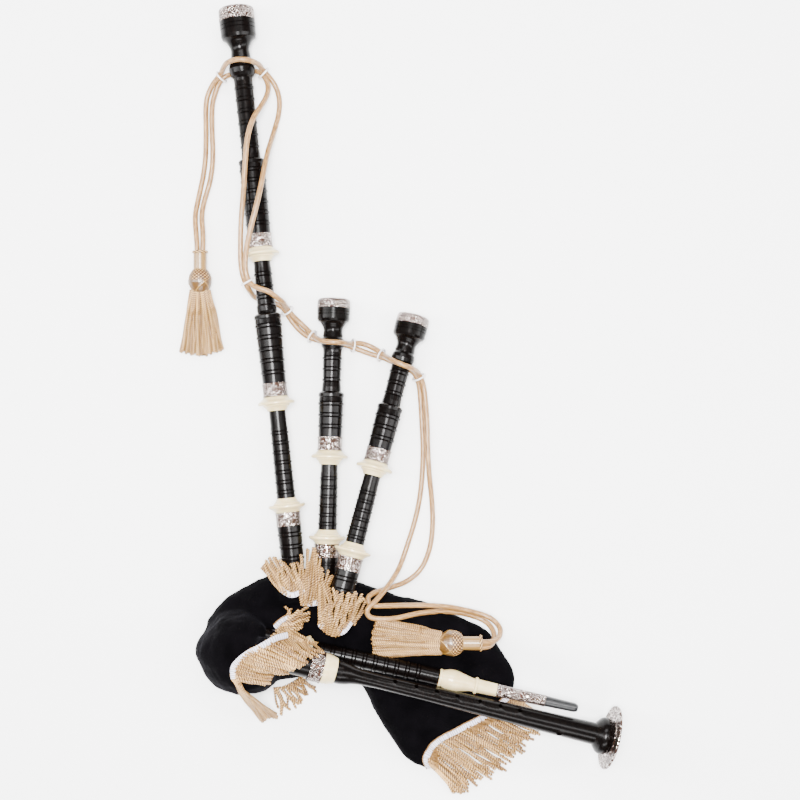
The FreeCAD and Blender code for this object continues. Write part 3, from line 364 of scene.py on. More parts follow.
def pearl_ring():
    finish = Finish("pearl_ring", (0.86, 0.84, 0.83), 0.22, Coat_Weight=0.5)
    tone = finish.texture("ShaderNodeTexNoise", finish.place(), Scale=180.0)
    finish.paint(tone, ((0.3, (0.58, 0.55, 0.58)), (0.7, (0.78, 0.75, 0.74))))
    return finish.material


def black_tip():
    finish = Finish("black_tip", (0.02, 0.02, 0.021), 0.32)
    scuffs = finish.texture("ShaderNodeTexNoise", finish.place(), Scale=240.0, Detail=4.0)
    finish.paint(scuffs, ((0.35, (0.004, 0.004, 0.005)), (0.8, (0.012, 0.012, 0.012))))
    finish.gloss(scuffs, 0.24, 0.42)
    return finish.material


def hide():
    finish = Finish("hide", (0.5, 0.4, 0.27), 0.7)
    pores = finish.texture("ShaderNodeTexNoise", finish.place(), Scale=160.0, Detail=6.0)
    finish.paint(pores, ((0.3, (0.38, 0.29, 0.18)), (0.7, (0.6, 0.5, 0.35))))
    finish.bump(pores, 0.0004)
    return finish.material


def pale_floor():
    finish = Finish("pale_floor", (0.92, 0.92, 0.92), 0.75)
    tone = finish.texture("ShaderNodeTexNoise", finish.place(), Scale=0.8, Detail=1.0)
    finish.paint(tone, ((0.2, (0.95, 0.95, 0.95)), (0.8, (0.97, 0.97, 0.97))))
    return finish.material


FINISHES = {
    "blackwood": blackwood(), "mount": imitation_ivory(), "silver": engraved_silver("chased_silver", 190.0),
    "sole": engraved_silver("chased_sole", 120.0), "hemp": waxed_hemp(), "cane": plain_cane(),
    "velvet": velvet(), "hide": hide(), "cord": satin_cord(), "ring": pearl_ring(), "tip": black_tip(),
    # each bullion's painted shade for the ply grooves, its own gold, and its painted highlight for the crests
    "fringe": bullion("bullion", (0.018, 0.006, 0.001), (0.18, 0.075, 0.013), (0.62, 0.37, 0.13)),
    "tassel": bullion("tassel_bullion", (0.02, 0.007, 0.001), (0.20, 0.086, 0.016), (0.64, 0.39, 0.14)),
    "satin": satin_gold(), "tape": white_tape(),
}
FINISHES["bush"] = FINISHES["mount"]
FINISHES["binding"] = FINISHES["hemp"]
FINISHES["valve"] = FINISHES["hide"]


def wear(piece, finish):
    piece.data.materials.clear()
    piece.data.materials.append(FINISHES[finish])
    return piece


# edges sharper than this, in degrees, stay crisp on smooth-shaded CAD nodes
CREASE_ANGLE = 32


def dress_cad_nodes():
    """Every CAD node takes the finish of its slot in the record."""
    for entry in frame["record"]["subparts"]:
        node = frame["nodes"][entry["node"]]
        node.data.materials.clear()
        node.data.materials.append(FINISHES[entry["material_slot"]])
        if entry["material_slot"] not in ("velvet", "hide", "cord"):
            for face in node.data.polygons:
                face.use_smooth = True
            crease = node.modifiers.new("creases", "EDGE_SPLIT")
            crease.split_angle = math.radians(CREASE_ANGLE)


# ---------------------------------------------------------------- velvet cover

# each stick's stock mouth and far end, as in the part's source
LINES = {
    "bass": ((-65.3, 182.7, 42.0), (-130.1, 797.2, 22.7)),
    "tenor_a": ((-14.3, 142.9, 36.0), (-6.8, 431.4, 20.9)),
    "tenor_b": ((20.2, 127.8, 57.0), (94.3, 412.6, 20.9)),
    "chanter": ((-2.2, -24.2, 88.0), (340.7, -115.3, 44.0)),
    "blowpipe": ((-32.2, -1.9, 60.0), (294.0, -76.3, 51.0)),
}
# radius of each sleeve, and how far before the stock's mouth it starts and ends
SLEEVES = {"bass": (18.4, 131.0, 98.0), "tenor_a": (18.2, 78.0, 60.0), "tenor_b": (18.4, 110.0, 88.0),
           "chanter": (20.0, 98.0, 78.0), "blowpipe": (17.6, 94.0, 58.0)}
BODY_CENTRE = (40, -10)
BODY_OUTLINE = ((-148, 6), (-165, 21), (-151, 43), (-136, 57), (-99, 76), (-75, 85), (-48, 90),
                (24, 73), (62, 60), (102, 49), (150, 29), (189, 5), (202, -13), (217, -52),
                (213, -63), (188, -92), (163, -103), (126, -121), (112, -136), (112, -156),
                (88, -151), (75, -136), (45, -88), (26, -52), (8, -38), (-40, -36), (-80, -42),
                (-120, -30))
NECK_CENTRE = (-122, -8)
NECK_OUTLINE = ((-150, 32), (-163, 14), (-175, -1), (-178, -13), (-171, -25), (-163, -40),
                (-145, -52), (-117, -60), (-100, -61), (-86, -56), (-76, -42), (-73, -10),
                (-82, 20), (-105, 42), (-130, 44))
# share of the height, and how far out the outline reaches at that share
LEVELS = ((0.0, 0.93), (0.06, 0.97), (0.14, 0.995), (0.3, 1.0), (0.5, 0.97), (0.7, 0.89),
          (0.85, 0.77), (0.95, 0.58), (0.99, 0.40), (1.0, 0.2))


def between(a, b, c, d, t):
    """The point at share t of the smooth curve from b to c, with a before them and d after."""
    return 0.5 * (2 * b + (c - a) * t + (2 * a - 5 * b + 4 * c - d) * t ** 2
                  + (3 * b - a - 3 * c + d) * t ** 3)


def smooth_loop(points, steps):
    """A closed smooth curve through the points."""
    count = len(points)
    made = []
    for index in range(count):
        a, b, c, d = (np.array(points[(index + k - 1) % count], float) for k in range(4))
        for step in range(steps):
            made.append(between(a, b, c, d, step / steps))
    return made


def add_skin(first, rings, sides, faces):
    """Adds the faces that join equal rings of points, from index first on, and cap both ends."""
    for ring in range(rings - 1):
        row = first + ring * sides
        for index in range(sides):
            after = (index + 1) % sides
            faces.append((row + index, row + after, row + sides + after, row + sides + index))
    faces.append(tuple(range(first + sides - 1, first - 1, -1)))
    last = first + (rings - 1) * sides
    faces.append(tuple(range(last, last + sides)))


def new_mesh(name, verts, faces, finish, relief_shade_and_tone=None):
    """A smooth mesh piece; its tone values, where given, run from 0 in the hollows to 1 on the crests, and
    the finishes turn them into painted shade in the hollows and painted highlight on the crests.
    """
    data = bpy.data.meshes.new(name)
    data.from_pydata([tuple(v) for v in verts], [], faces)
    if relief_shade_and_tone is not None:
        data.attributes.new("tone", "FLOAT", "POINT").data.foreach_set("value", np.array(relief_shade_and_tone, float))
    data.shade_smooth()
    piece = bpy.data.objects.new(name, data)
    bpy.context.scene.collection.objects.link(piece)
    return wear(piece, finish)


def pillow(outline, centre, height, verts, faces):
    """Adds a closed soft form, drawn in level by level over a flat underside."""
    loop = smooth_loop(outline, 6)
    centre = np.array(centre, float)
    first = len(verts)
    for share, reach in LEVELS:
        for point in loop:
            x, y = centre + (point - centre) * reach
            verts.append((x * MM, y * MM, share * height(x, y) * MM))
    add_skin(first, len(LEVELS), len(loop), faces)


def sleeve(line, verts, faces, sides=32):
    """Adds a closed drum around a stock's inner part, its mouth end gathered in a little."""
    radius, back, front = SLEEVES[line]
    start, end = (Vector(point) for point in LINES[line])
    ahead = (end - start).normalized()
    side = Vector((0, 0, 1)).cross(ahead).normalized()
    above = ahead.cross(side)
    first = len(verts)
    stations = ((-back, 0.8), (-back + 3, 1.0), (-front - 3, 1.0), (-front, 0.95))
    for position, share in stations:
        for index in range(sides):
            turn = 2 * math.pi * index / sides
            rim = side * math.cos(turn) + above * math.sin(turn)
            verts.append(tuple((start + ahead * position + rim * radius * share) * MM))
    add_skin(first, len(stations), sides, faces)


def baked(piece):
    """The piece's mesh with its modifiers applied, in place."""
    graph = bpy.context.evaluated_depsgraph_get()
    data = bpy.data.meshes.new_from_object(piece.evaluated_get(graph))
    piece.modifiers.clear()
    piece.data = data
    return piece


# how long the velvet settles, and the furthest that a point may move and rise, in metres
CLOTH_FRAMES = 14
CLOTH_SHIFT = 0.004
CLOTH_RISE = 0.0012


def settle_cloth(piece):
    """Inflates the cloth a little so that it puckers, within the limits above."""
    before = np.array([v.co for v in piece.data.vertices])
    cloth = piece.modifiers.new("cloth", "CLOTH")
    cloth.settings.quality = 4
    cloth.settings.use_pressure = True
    cloth.settings.uniform_pressure_force = 1.5
    cloth.settings.shrink_min = -0.05
    cloth.settings.effector_weights.gravity = 0.0
    cloth.point_cache.frame_end = CLOTH_FRAMES
    scene = bpy.context.scene
    for frame_number in range(1, CLOTH_FRAMES + 1):
        scene.frame_set(frame_number)
    baked(piece)
    scene.frame_set(1)
    after = np.array([v.co for v in piece.data.vertices])
    shift = after - before
    length = np.linalg.norm(shift, axis=1, keepdims=True)
    shift *= np.minimum(1.0, CLOTH_SHIFT / np.maximum(length, 1e-9))
    shift[:, 2] = np.minimum(shift[:, 2], CLOTH_RISE)
    piece.data.vertices.foreach_set("co", (before + shift).ravel())
    piece.data.update()


# long soft folds in the velvet: start, end, height and half width
FOLDS = (((60, 40), (200, -40), 2.4, 7), ((80, 20), (190, -85), 2.0, 6), ((-20, 60), (120, 40), 1.8, 6),
         ((90, -60), (150, -110), 2.6, 6), ((50, -60), (105, -140), 2.2, 6), ((110, 45), (205, 0), 2.0, 5),
         ((-160, 10), (-110, 35), 3.0, 7), ((-170, -20), (-130, -10), 2.6, 6),
         ((-165, -50), (-110, -60), 3.2, 7), ((-150, -75), (-95, -70), 3.0, 6),
         ((-130, 60), (-70, 50), 2.6, 6), ((0, 20), (60, -10), 1.6, 7))
# how far a fold wavers to each side, how slowly, and how soon it fades out at its ends
FOLD_SWAY = 4.0
FOLD_SWAY_LENGTH = 22.0
FOLD_FADE = 15.0


def fold_rise(x, y):
    rise = 0.0
    for (x0, y0), (x1, y1), height, half in FOLDS:
        length = math.hypot(x1 - x0, y1 - y0)
        ux, uy = (x1 - x0) / length, (y1 - y0) / length
        run = (x - x0) * ux + (y - y0) * uy
        off = (y - y0) * ux - (x - x0) * uy + FOLD_SWAY * math.sin(run / FOLD_SWAY_LENGTH)
        ends = min(1.0, max(0.0, run / FOLD_FADE)) * min(1.0, max(0.0, (length - run) / FOLD_FADE))
        rise += height * ends * math.exp(-(off / half) ** 2)
    return rise


def keep_outside(piece, nodes, gap, reach=12.0 * MM):
    """Moves points that lie under a node's outer surface, or closer above it than gap, out to gap."""
    graph = bpy.context.evaluated_depsgraph_get()
    for name in nodes:
        tree = BVHTree.FromObject(frame["nodes"][name], graph)
        for vertex in piece.data.vertices:
            outside = vertex.co + vertex.normal * reach
            where, normal, _, _ = tree.ray_cast(outside, -vertex.normal, reach + gap)
            if where is not None and normal.dot(vertex.normal) > 0.2:
                vertex.co = where + vertex.normal * gap


# how far outside the inner bag the cloth starts, and the least that it ends up outside it
CLOTH_OVER_BAG = 2.8 * MM
CLOTH_GAP = 0.9 * MM
VOXEL_SIZE = 0.0045
# the small wrinkles' size and depth in mm, and the height over which they fade in from the surface
WRINKLE_SIZE = 26.0
WRINKLE_DEPTH = 1.6
WRINKLE_FADE = 12.0


def body_height(x, y):
    return 45.6 - 0.03 * x + 0.1 * y


def neck_height(x, y):
    return 153.0 + 0.5 * x


def velvet_cover():
    """The cover's body, neck and stock sleeves as one cloth over the inner bag."""
    verts, faces = [], []
    pillow(BODY_OUTLINE, BODY_CENTRE, body_height, verts, faces)
    pillow(NECK_OUTLINE, NECK_CENTRE, neck_height, verts, faces)
    for line in SLEEVES:
        sleeve(line, verts, faces)
    inner_bag = frame["nodes"]["bag"].data
    first = len(verts)
    verts.extend(tuple(v.co + v.normal * CLOTH_OVER_BAG) for v in inner_bag.vertices)
    faces.extend(tuple(first + corner for corner in face.vertices) for face in inner_bag.polygons)
    cover = new_mesh("velvet_cover", verts, faces, "velvet")
    remesh = cover.modifiers.new("remesh", "REMESH")
    remesh.mode = "VOXEL"
    remesh.voxel_size = VOXEL_SIZE
    smooth = cover.modifiers.new("smooth", "SMOOTH")
    smooth.iterations = 5
    baked(cover)
    settle_cloth(cover)
    divide = cover.modifiers.new("divide", "SUBSURF")
    divide.levels = 1
    divide.render_levels = 1
    baked(cover)
    for vertex in cover.data.vertices:
        x, y, z = (value / MM for value in vertex.co)
        lean = max(0.0, min(1.0, z / WRINKLE_FADE))
        wrinkle = noise.turbulence(Vector((x, y, z)) / WRINKLE_SIZE, 3, False) * WRINKLE_DEPTH
        rise = (fold_rise(x, y) + wrinkle) * lean
        vertex.co += vertex.normal * rise * MM
    keep_outside(cover, ("bag", "stock_ties"), CLOTH_GAP)
    for vertex in cover.data.vertices:
        vertex.co.z = max(vertex.co.z, 0.0)
    cover.data.shade_smooth()
    wear(cover, "velvet")
    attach(cover, "bag")
    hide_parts("bag_cover")
    return cover


# ---------------------------------------------------------------- laying strands and tapes

class Relief:
    """The height of what already lies there, on a 1 mm grid, as strands are laid on it."""

    def __init__(self, pieces):
        graph = bpy.context.evaluated_depsgraph_get()
        verts, faces = [], []
        for piece in pieces:
            data = piece.evaluated_get(graph).to_mesh()
            first = len(verts)
            verts.extend(v.co.copy() for v in data.vertices)
            faces.extend(tuple(first + k for k in face.vertices) for face in data.polygons)
        self.tree = BVHTree.FromPolygons(verts, faces)
        self.bare = {}
        self.pile = {}

    def ground(self, cell):
        if cell not in self.bare:
            hit = self.tree.ray_cast(Vector((cell[0] * MM, cell[1] * MM, 0.3)), Vector((0, 0, -1)))
            self.bare[cell] = hit[0].z / MM if hit[0] is not None else 0.0
        return self.bare[cell]

    def top(self, x, y):
        cell = (round(x), round(y))
        return max(self.ground(cell), self.pile.get(cell, 0.0))

    def lay(self, plan, radius, most=14.0, slope=1.5, rest=None):
        """Heights for a plan path in mm: on top of what is there, no steeper than slope."""
        height = []
        for x, y in plan:
            bare = max(self.ground((round(x + dx), round(y + dy))) for dx in (-1, 1) for dy in (-1, 1))
            height.append(min(max(self.top(x, y), bare), bare + most) + radius * 1.05)
        step = np.linalg.norm(np.diff(plan, axis=0), axis=1)
        for index in range(1, len(height)):
            height[index] = max(height[index], height[index - 1] - slope * step[index - 1])
        for index in range(len(height) - 2, -1, -1):
            height[index] = max(height[index], height[index + 1] - slope * step[index])
        height = np.array(height)
        padded = np.pad(height, 2, mode="edge")
        height = np.maximum(height - 0.4, np.convolve(padded, np.ones(5) / 5, mode="valid"))
        if rest is not None:
            height = rest(height)
        for (x, y), level in zip(plan, height):
            for dx in (-1, 0, 1):
                for dy in (-1, 0, 1):
                    cell = (round(x) + dx, round(y) + dy)
                    share = 0.5 if dx or dy else 0.7
                    self.pile[cell] = max(self.pile.get(cell, 0.0), level + radius * share)
        return height


def bent(points, count):
    """count points along a smooth open curve through the given ones."""
    points = np.array(points, float)
    padded = np.vstack([2 * points[0] - points[1], points, 2 * points[-1] - points[-2]])
    made = []
    for share in np.linspace(0, len(points) - 1 - 1e-6, count):
        index = int(share)
        made.append(between(*padded[index:index + 4], share - index))
    return np.array(made)


class Bundle:
    """The growing mesh of many strands, with each point's painted shade: dark in the grooves between plies,
    pale on the crests, times the strand's own random tone.
    """

    def __init__(self):
        self.verts, self.faces, self.relief_shade_and_tone = [], [], []

    def piece(self, name, finish):
        return new_mesh(name, self.verts, self.faces, finish, self.relief_shade_and_tone)


def tube_along(path, rings, verts, faces):
    """Adds a closed tube: rings gives each station's radius at each corner, in metres."""
    sides = rings.shape[1]
    tangent = np.gradient(path, axis=0)
    tangent /= np.maximum(np.linalg.norm(tangent, axis=1, keepdims=True), 1e-12)
    side = np.cross(tangent[0], (0.0, 0.0, 1.0))
    if np.linalg.norm(side) < 0.2:
        side = np.cross(tangent[0], (1.0, 0.0, 0.0))
    first = len(verts)
    turns = 2 * np.pi * np.arange(sides) / sides
    for spot, ahead, radii in zip(path, tangent, rings):
        side = side - ahead * np.dot(side, ahead)
        side /= np.linalg.norm(side)
        above = np.cross(ahead, side)
        rim = np.outer(np.cos(turns) * radii, side) + np.outer(np.sin(turns) * radii, above) + spot
        verts.extend(map(tuple, rim))
    add_skin(first, len(path), sides, faces)


# distance between a strand's rings of corners; its radius in the groove, and what its crest adds
RING_STEP = 0.95
GROOVE = 0.44
CREST = 0.62


def strand(path, radius, bundle, pitch=6.6, sides=8):
    """Adds a two-ply twisted strand along a path in mm, rounded off at its end."""
    length = np.concatenate([[0.0], np.cumsum(np.linalg.norm(np.diff(path, axis=0), axis=1))])
    count = max(8, int(length[-1] / RING_STEP))
    even = np.linspace(0, length[-1], count)
    path = np.stack([np.interp(even, length, path[:, k]) for k in range(3)], axis=1)
    twist = 2 * np.pi * even / pitch + rng.uniform(0, 6)
    turns = 2 * np.pi * np.arange(sides) / sides
    crest = np.abs(np.cos(turns[None, :] - twist[:, None]))
    lobes = GROOVE + CREST * crest
    left = np.clip((even[-1] - even) / (radius * 1.1), 0.0, 1.0)
    close = np.sqrt(1 - (1 - left) ** 2)
    knob = 1.0 + 0.22 * np.exp(-((even[-1] - even - 1.6) / 1.3) ** 2)
    rings = radius * lobes * (np.maximum(close, 0.15) * knob)[:, None] * MM
    tube_along(path * MM, rings, bundle.verts, bundle.faces)
    # each corner's tone is its share of the ply's crest: painted shade in the grooves between plies and
    # painted highlight on the crests, times a random tone for the strand
    shade = rng.uniform(0.78, 1.05)
    bundle.relief_shade_and_tone.extend((crest ** 1.4 * shade).ravel())


# how far inside its header tape's centre line a strand starts, and a fringe strand's radius
ROOT_INSET = 2.4
STRAND_RADIUS = 1.7


def fringe_strands(relief, header, tips, count, bundle, wander, most, shorten=0.08, slope=1.5):
    """Strands from along one curve to along another, each laid on what is already there."""
    roots = bent(offset_line(header, -ROOT_INSET), count)
    ends = bent(tips, count)
    order = list(range(count))
    rng.shuffle(order)
    for index in order:
        root, end = roots[index], ends[index]
        run = end - root
        across = np.array((-run[1], run[0])) / max(np.linalg.norm(run), 1e-6)
        end = root + run * (1 - rng.uniform(0, shorten)) + across * rng.gauss(0, wander)
        middle = root + run * 0.5 + across * rng.gauss(0, wander * 0.8)
        steps = max(12, int(np.linalg.norm(run)))
        plan = bent((root, middle, end), steps)
        wave = np.sin(np.linspace(0, rng.uniform(3, 7), steps) + rng.uniform(0, 6)) * 0.7
        plan = plan + np.outer(wave * np.linspace(0, 1, steps), across)
        height = relief.lay(plan, STRAND_RADIUS, most, slope)
        strand(np.column_stack([plan, height]), STRAND_RADIUS, bundle)


# the tape's thickness and the distance between its ribs
TAPE_THICK = 1.8
TAPE_RIB = 2.5


def ribbed_tape(name, relief, header, width):
    """A ribbed tape that lies flat along the head of a fringe."""
    length = polyline_length(header)
    count = int(length / 0.45)
    plan = bent(header, count)
    centre = relief.lay(plan, TAPE_THICK * 0.5, most=8.0, slope=1.2)
    path = np.column_stack([plan, centre]) * MM
    tangent = np.gradient(path, axis=0)
    tangent /= np.linalg.norm(tangent, axis=1, keepdims=True)
    run = np.linspace(0, length, count)
    crests = np.abs(np.sin(np.pi * run / TAPE_RIB))
    ribs = 1.0 + 0.45 * crests
    across = np.cross((0.0, 0.0, 1.0), tangent)
    across /= np.linalg.norm(across, axis=1, keepdims=True)
    above = np.cross(tangent, across)
    outline = ((-0.5, -0.2), (-0.47, 0.35), (-0.3, 0.5), (0.0, 0.55), (0.3, 0.5), (0.47, 0.35), (0.5, -0.2),
               (0.0, -0.4))
    verts, faces = [], []
    for spot, wide, high, swell in zip(path, across, above, ribs):
        for share, rise in outline:
            verts.append(tuple(spot + wide * share * width * MM * (0.94 + 0.06 * swell)
                               + high * rise * TAPE_THICK * swell * MM))
    add_skin(0, count, len(outline), faces)
    # the tone is the rib's height: painted shade in the valleys between the ribs
    return new_mesh(name, verts, faces, "tape", np.repeat(crests, len(outline)))


def polyline_length(points):
    return sum(math.dist(a, b) for a, b in zip(points, points[1:]))


def on_bag(piece, slot, *nodes):
    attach(piece, "bag")
    if nodes:
        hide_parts(*nodes)
    return piece


# ---------------------------------------------------------------- fringes

def offset_line(points, distance):
    """The same line, moved to its left by a distance."""
    points = np.array(points, float)
    ahead = np.gradient(points, axis=0)
    ahead /= np.linalg.norm(ahead, axis=1, keepdims=True)
    return points + np.column_stack([-ahead[:, 1], ahead[:, 0]]) * distance


# header line, tips line and number of strands of each short fringe at a stock
BASS_FRINGE = (((-72, 75), (-64, 69), (-55, 66), (-41, 71)),
               (((-97, 97), (-93, 108), (-80, 113), (-66, 108)), 19),
               (((-82, 100), (-74, 104), (-62, 103), (-56, 106)), 8))
TENOR_A_FRINGE = (((-44, 55), (-37, 54), (-30, 54), (-23, 55)),
                  (((-54, 98), (-41, 121), (-28, 121), (-20, 94)), 17),
                  (((-40, 100), (-30, 112), (-16, 98), (-7, 90)), 9))
TENOR_B_FRINGE = (((-21, 33), (-13, 24), (-3, 20), (8, 24), (16, 33)),
                  (((-24, 74), (-18, 84), (-5, 76), (14, 70), (30, 62)), 24),
                  (((-10, 54), (-2, 70), (22, 72), (34, 58), (22, 32)), 15))
BLOWPIPE_FRINGE = (((-78, 24), (-70, 31), (-60, 37)),
                   (((-50, 18), (-42, 26), (-33, 38), (-36, 49)), 14),
                   (((-54, 18), (-45, 32), (-42, 44), (-68, 50)), 9))


def stock_fringes(relief):
    """Short bullion fringes where the drone and blowpipe stocks leave the cover."""
    bundle = Bundle()
    for header, *fans in (BASS_FRINGE, TENOR_A_FRINGE, TENOR_B_FRINGE, BLOWPIPE_FRINGE):
        for tips, count in fans:
            fringe_strands(relief, header, tips, count, bundle, wander=2.6, most=9.0, slope=0.6)
    on_bag(bundle.piece("stock_fringe_strands", "fringe"), "fringe", "stock_fringes")
    for name, (header, *_) in (("bass_fringe", BASS_FRINGE), ("tenor_a_fringe", TENOR_A_FRINGE),
                               ("tenor_b_fringe", TENOR_B_FRINGE), ("blowpipe_fringe", BLOWPIPE_FRINGE)):
        header_tape(name, relief, header, 6.4)


def header_tape(name, relief, header, width):
    """The white ribbed tape that a fringe hangs from, with a gold picot along its outer edge."""
    on_bag(ribbed_tape(name + "_tape", relief, header, width), "ring")
    edge = bent(offset_line(header, width * 0.56), max(24, int(polyline_length(header))))
    height = relief.lay(edge, 0.9, 3.0, 1.2)
    bundle = Bundle()
    strand(np.column_stack([edge, height]), 1.0, bundle, pitch=4.4)
    on_bag(bundle.piece(name + "_picot", "fringe"), "fringe")


def neck_fringe(relief):
    """The long fringe around the chanter's sleeve: a curved tape and its layers of strands."""
    header = ((-60, 20), (-74, 18), (-89, 11), (-103, 3), (-115, -6), (-124, -17), (-124, -31))
    tips = ((-14, -1), (-28, -7), (-38, -14), (-44, -19), (-57, -24), (-70, -31), (-82, -38))
    bundle = Bundle()
    for share, count in ((0.88, 26), (0.96, 32), (1.0, 20)):
        start = bent(header, 12)
        reach = start + (bent(tips, 12) - start) * share
        fringe_strands(relief, header, reach, count, bundle, wander=1.8, most=9.0, shorten=0.12)
    corner = ((-123, -18), (-125, -25), (-124, -31))
    fall = ((-98, -103), (-88, -101), (-76, -98))
    for count in (9, 9):
        fringe_strands(relief, corner, fall, count, bundle, wander=2.6, most=6.0)
    lip = ((-84, -57), (-74, -56), (-64, -52), (-54, -46))
    curls = ((-72, -96), (-50, -84), (-40, -68), (-26, -54))
    for share, count in ((0.8, 10), (1.0, 14)):
        start = bent(lip, 8)
        reach = start + (bent(curls, 8) - start) * share
        fringe_strands(relief, lip, reach, count, bundle, wander=4.5, most=6.0)
    on_bag(bundle.piece("neck_fringe_strands", "fringe"), "fringe", "neck_fringe")
    header_tape("neck_fringe", relief, header, 7.2)


def rear_fringe(relief):
    """The fringe behind the bag: it lies on the surface under the chanter."""
    header = ((114, -160), (109, -146), (115, -134), (127, -123), (143, -114), (160, -105), (177, -96),
              (190, -88), (204, -76), (217, -64))
    tips = ((150, -197), (166, -192), (184, -184), (208, -170), (224, -156), (236, -143), (254, -126),
            (258, -108), (244, -88))
    bundle = Bundle()
    for share, count in ((0.84, 38), (0.94, 38), (1.0, 34)):
        start = bent(header, 14)
        reach = start + (bent(tips, 14) - start) * share
        fringe_strands(relief, header, reach, count, bundle, wander=2.2, most=7.0, shorten=0.16)
    on_bag(bundle.piece("rear_fringe_strands", "fringe"), "fringe", "rear_fringe")
    header_tape("rear_fringe", relief, header, 7.6)


# ---------------------------------------------------------------- tassels

def lathe(name, start, ahead, profile, finish, ripple, sides=56):
    """A turned piece along a level line; ripple(position, turn) adds to the radius, in mm."""
    start, ahead = np.array(start, float), np.array(ahead, float)
    side = np.cross((0.0, 0.0, 1.0), ahead)
    positions = np.arange(profile[0][0], profile[-1][0] + 0.01, 0.5)
    radii = np.interp(positions, [p[0] for p in profile], [p[1] for p in profile])
    verts, faces, rises = [], [], []
    for position, radius in zip(positions, radii):
        for index in range(sides):
            turn = 2 * math.pi * index / sides
            rises.append(ripple(position, turn))
            reach = radius + rises[-1]
            rim = side * math.cos(turn) + np.array((0, 0, 1.0)) * math.sin(turn)
            verts.append(tuple((start + ahead * position + rim * reach) * MM))
    add_skin(0, len(positions), sides, faces)
    # the tone is the ripple's height: painted shade in the ripple's hollows and painted highlight on its
    # raised turns
    low, high = min(rises), max(rises)
    return new_mesh(name, verts, faces, finish, [(rise - low) / (high - low) for rise in rises])


# how far from the collar the hank starts, and its strands' radius
HANK_START = 49.0
HANK_STRAND = 1.65


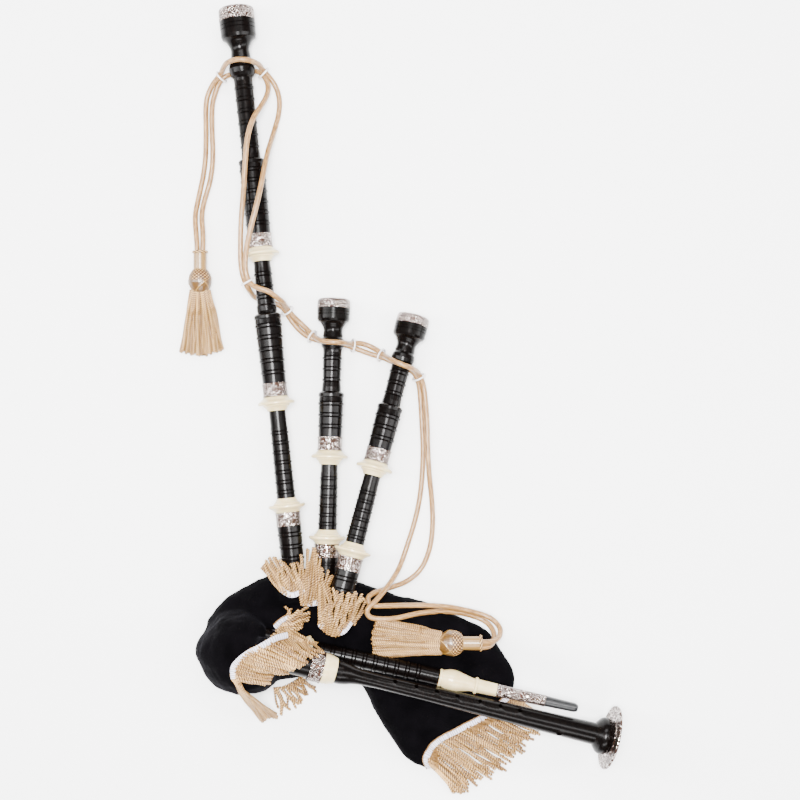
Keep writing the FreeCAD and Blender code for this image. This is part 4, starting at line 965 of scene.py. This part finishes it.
def tassel(name, relief, start, ahead, ball, spread, length, drift, layers):
    """Collar, wound neck, ball half knitted and half satin, and its hank of twisted strands."""
    def collar_rope(position, turn):
        return 0.45 * math.sin(9 * turn + position * 2.4)

    def wound(position, turn):
        return 0.22 * math.sin(position * 2 * math.pi / 1.0)

    def knitted(position, turn):
        return 1.1 * abs(math.sin(8 * turn + position * 0.8)) * abs(math.sin(8 * turn - position * 0.8))

    def satin(position, turn):
        crossing = min(abs(math.sin(1.5 * turn + position * 0.12)),
                       abs(math.sin(1.5 * turn - position * 0.12)))
        return 0.2 * math.sin(40 * turn) + 0.9 * math.exp(-(crossing / 0.09) ** 2)

    pieces = [
        lathe(name + "_collar", start, ahead, ((-0.4, 8.6), (0.2, 9.6), (1.4, 9.9), (2.6, 9.5), (3.0, 8.4)),
              "tassel", ripple=collar_rope),
        lathe(name + "_neck", start, ahead, ((2.6, 8.2), (22.5, 8.3), (24.5, 9.0)), "satin", ripple=wound),
        lathe(name + "_knit", start, ahead, ((23.5, 8.5), (26.0, ball - 4.2), (30.0, ball - 1.9),
                                             (34.0, ball - 0.8), (37.0, ball - 0.7)), "tassel",
              ripple=knitted),
        lathe(name + "_satin", start, ahead, ((36.5, ball - 0.3), (40.0, ball - 0.3), (45.0, ball - 1.6),
                                              (49.0, ball - 3.6), (52.0, ball - 5.5)), "satin", sides=96,
              ripple=satin),
    ]
    start, ahead = np.array(start, float), np.array(ahead, float)
    side = np.cross((0.0, 0.0, 1.0), ahead)
    bundle = Bundle()
    for layer, count in enumerate(layers):
        level = (layer + 0.5) / len(layers)
        order = list(range(count))
        rng.shuffle(order)
        for index in order:
            share = (index + 0.5) / count * 2 - 1
            root_off = share * (ball - 1.5) * math.sqrt(max(0.05, 1 - (2 * level - 1) ** 2 * 0.6))
            root_up = (2 * level - 1) * (ball - 5.0) * math.sqrt(max(0.0, 1 - share ** 2))
            root = start + ahead * HANK_START + side * root_off
            reach = length * (1 - 0.06 * share ** 2 - rng.uniform(0, 0.06))
            tip = start + ahead * (HANK_START + reach) + side * (share * spread + rng.gauss(0, 1.2) + drift)
            sway = share * spread * 0.72 + drift * 0.4 + rng.gauss(0, 1.0)
            middle = start + ahead * (HANK_START + reach * 0.45) + side * sway
            steps = int(reach)
            plan = bent((root[:2], middle[:2], tip[:2]), steps)
            ease = np.clip(np.linspace(0, 1, steps) / 0.4, 0, 1)
            ease = ease * ease * (3 - 2 * ease)
            top = start[2] + root_up

            def drooping(laid):
                return np.maximum(laid * ease + top * (1 - ease), laid - 3.0 * (1 - ease))

            height = relief.lay(plan, 1.6, 15.0, 1.5, rest=drooping)
            strand(np.column_stack([plan, height]), HANK_STRAND, bundle, pitch=5.2)
    strands = bundle.piece(name + "_strands", "tassel")
    for piece in pieces:
        on_bag(piece, "tassel")
    on_bag(strands, "tassel", name)
    return [strands] + pieces


# ---------------------------------------------------------------- floor

# half the floor's width, and how far it lies below the object, in metres
FLOOR_HALF = 6
FLOOR_LEVEL = -0.0004


def place_floor():
    corners = [(x * FLOOR_HALF, y * FLOOR_HALF, FLOOR_LEVEL) for x, y in ((-1, -1), (1, -1), (1, 1), (-1, 1))]
    data = bpy.data.meshes.new("floor")
    data.from_pydata(corners, [], [(0, 1, 2, 3)])
    data.materials.append(pale_floor())
    floor = bpy.data.objects.new("floor", data)
    bpy.context.scene.collection.objects.link(floor)


# ---------------------------------------------------------------- putting it together

place_camera()
front_cord = cord_curve("front_cord", FRONT_CORD)
back_cord = cord_curve("back_cord", BACK_CORD)
for cord, node in ((front_cord, "drone_cord_a"), (back_cord, "drone_cord_b")):
    wear(cord, "cord")
    on_bag(cord, "cord", node)
place_lights()
dress_cad_nodes()
cover = velvet_cover()

cover_relief = Relief([cover])
rear_fringe(cover_relief)
left = tassel("tassel_left", cover_relief, (-175.8, 492.3, 15.0), (0, -1, 0), 14.4, 27.0, 84.0, 0.0,
              (14, 16, 17, 15))
right = tassel("tassel_right", cover_relief, (176.9, 5.0, 58.0), (-1, 0, 0), 15.8, 25.0, 88.0, -5.0,
               (13, 15, 16, 14))
stocks = [node for name, node in frame["nodes"].items()
          if name.startswith(("bass_", "tenor_", "stock_", "chanter_stock", "blowpipe_stock"))
          and name != "stock_fringes"]
stock_relief = Relief([cover, *stocks])
stock_fringes(stock_relief)
neck_fringe(stock_relief)

place_floor()

bpy.context.view_layer.update()
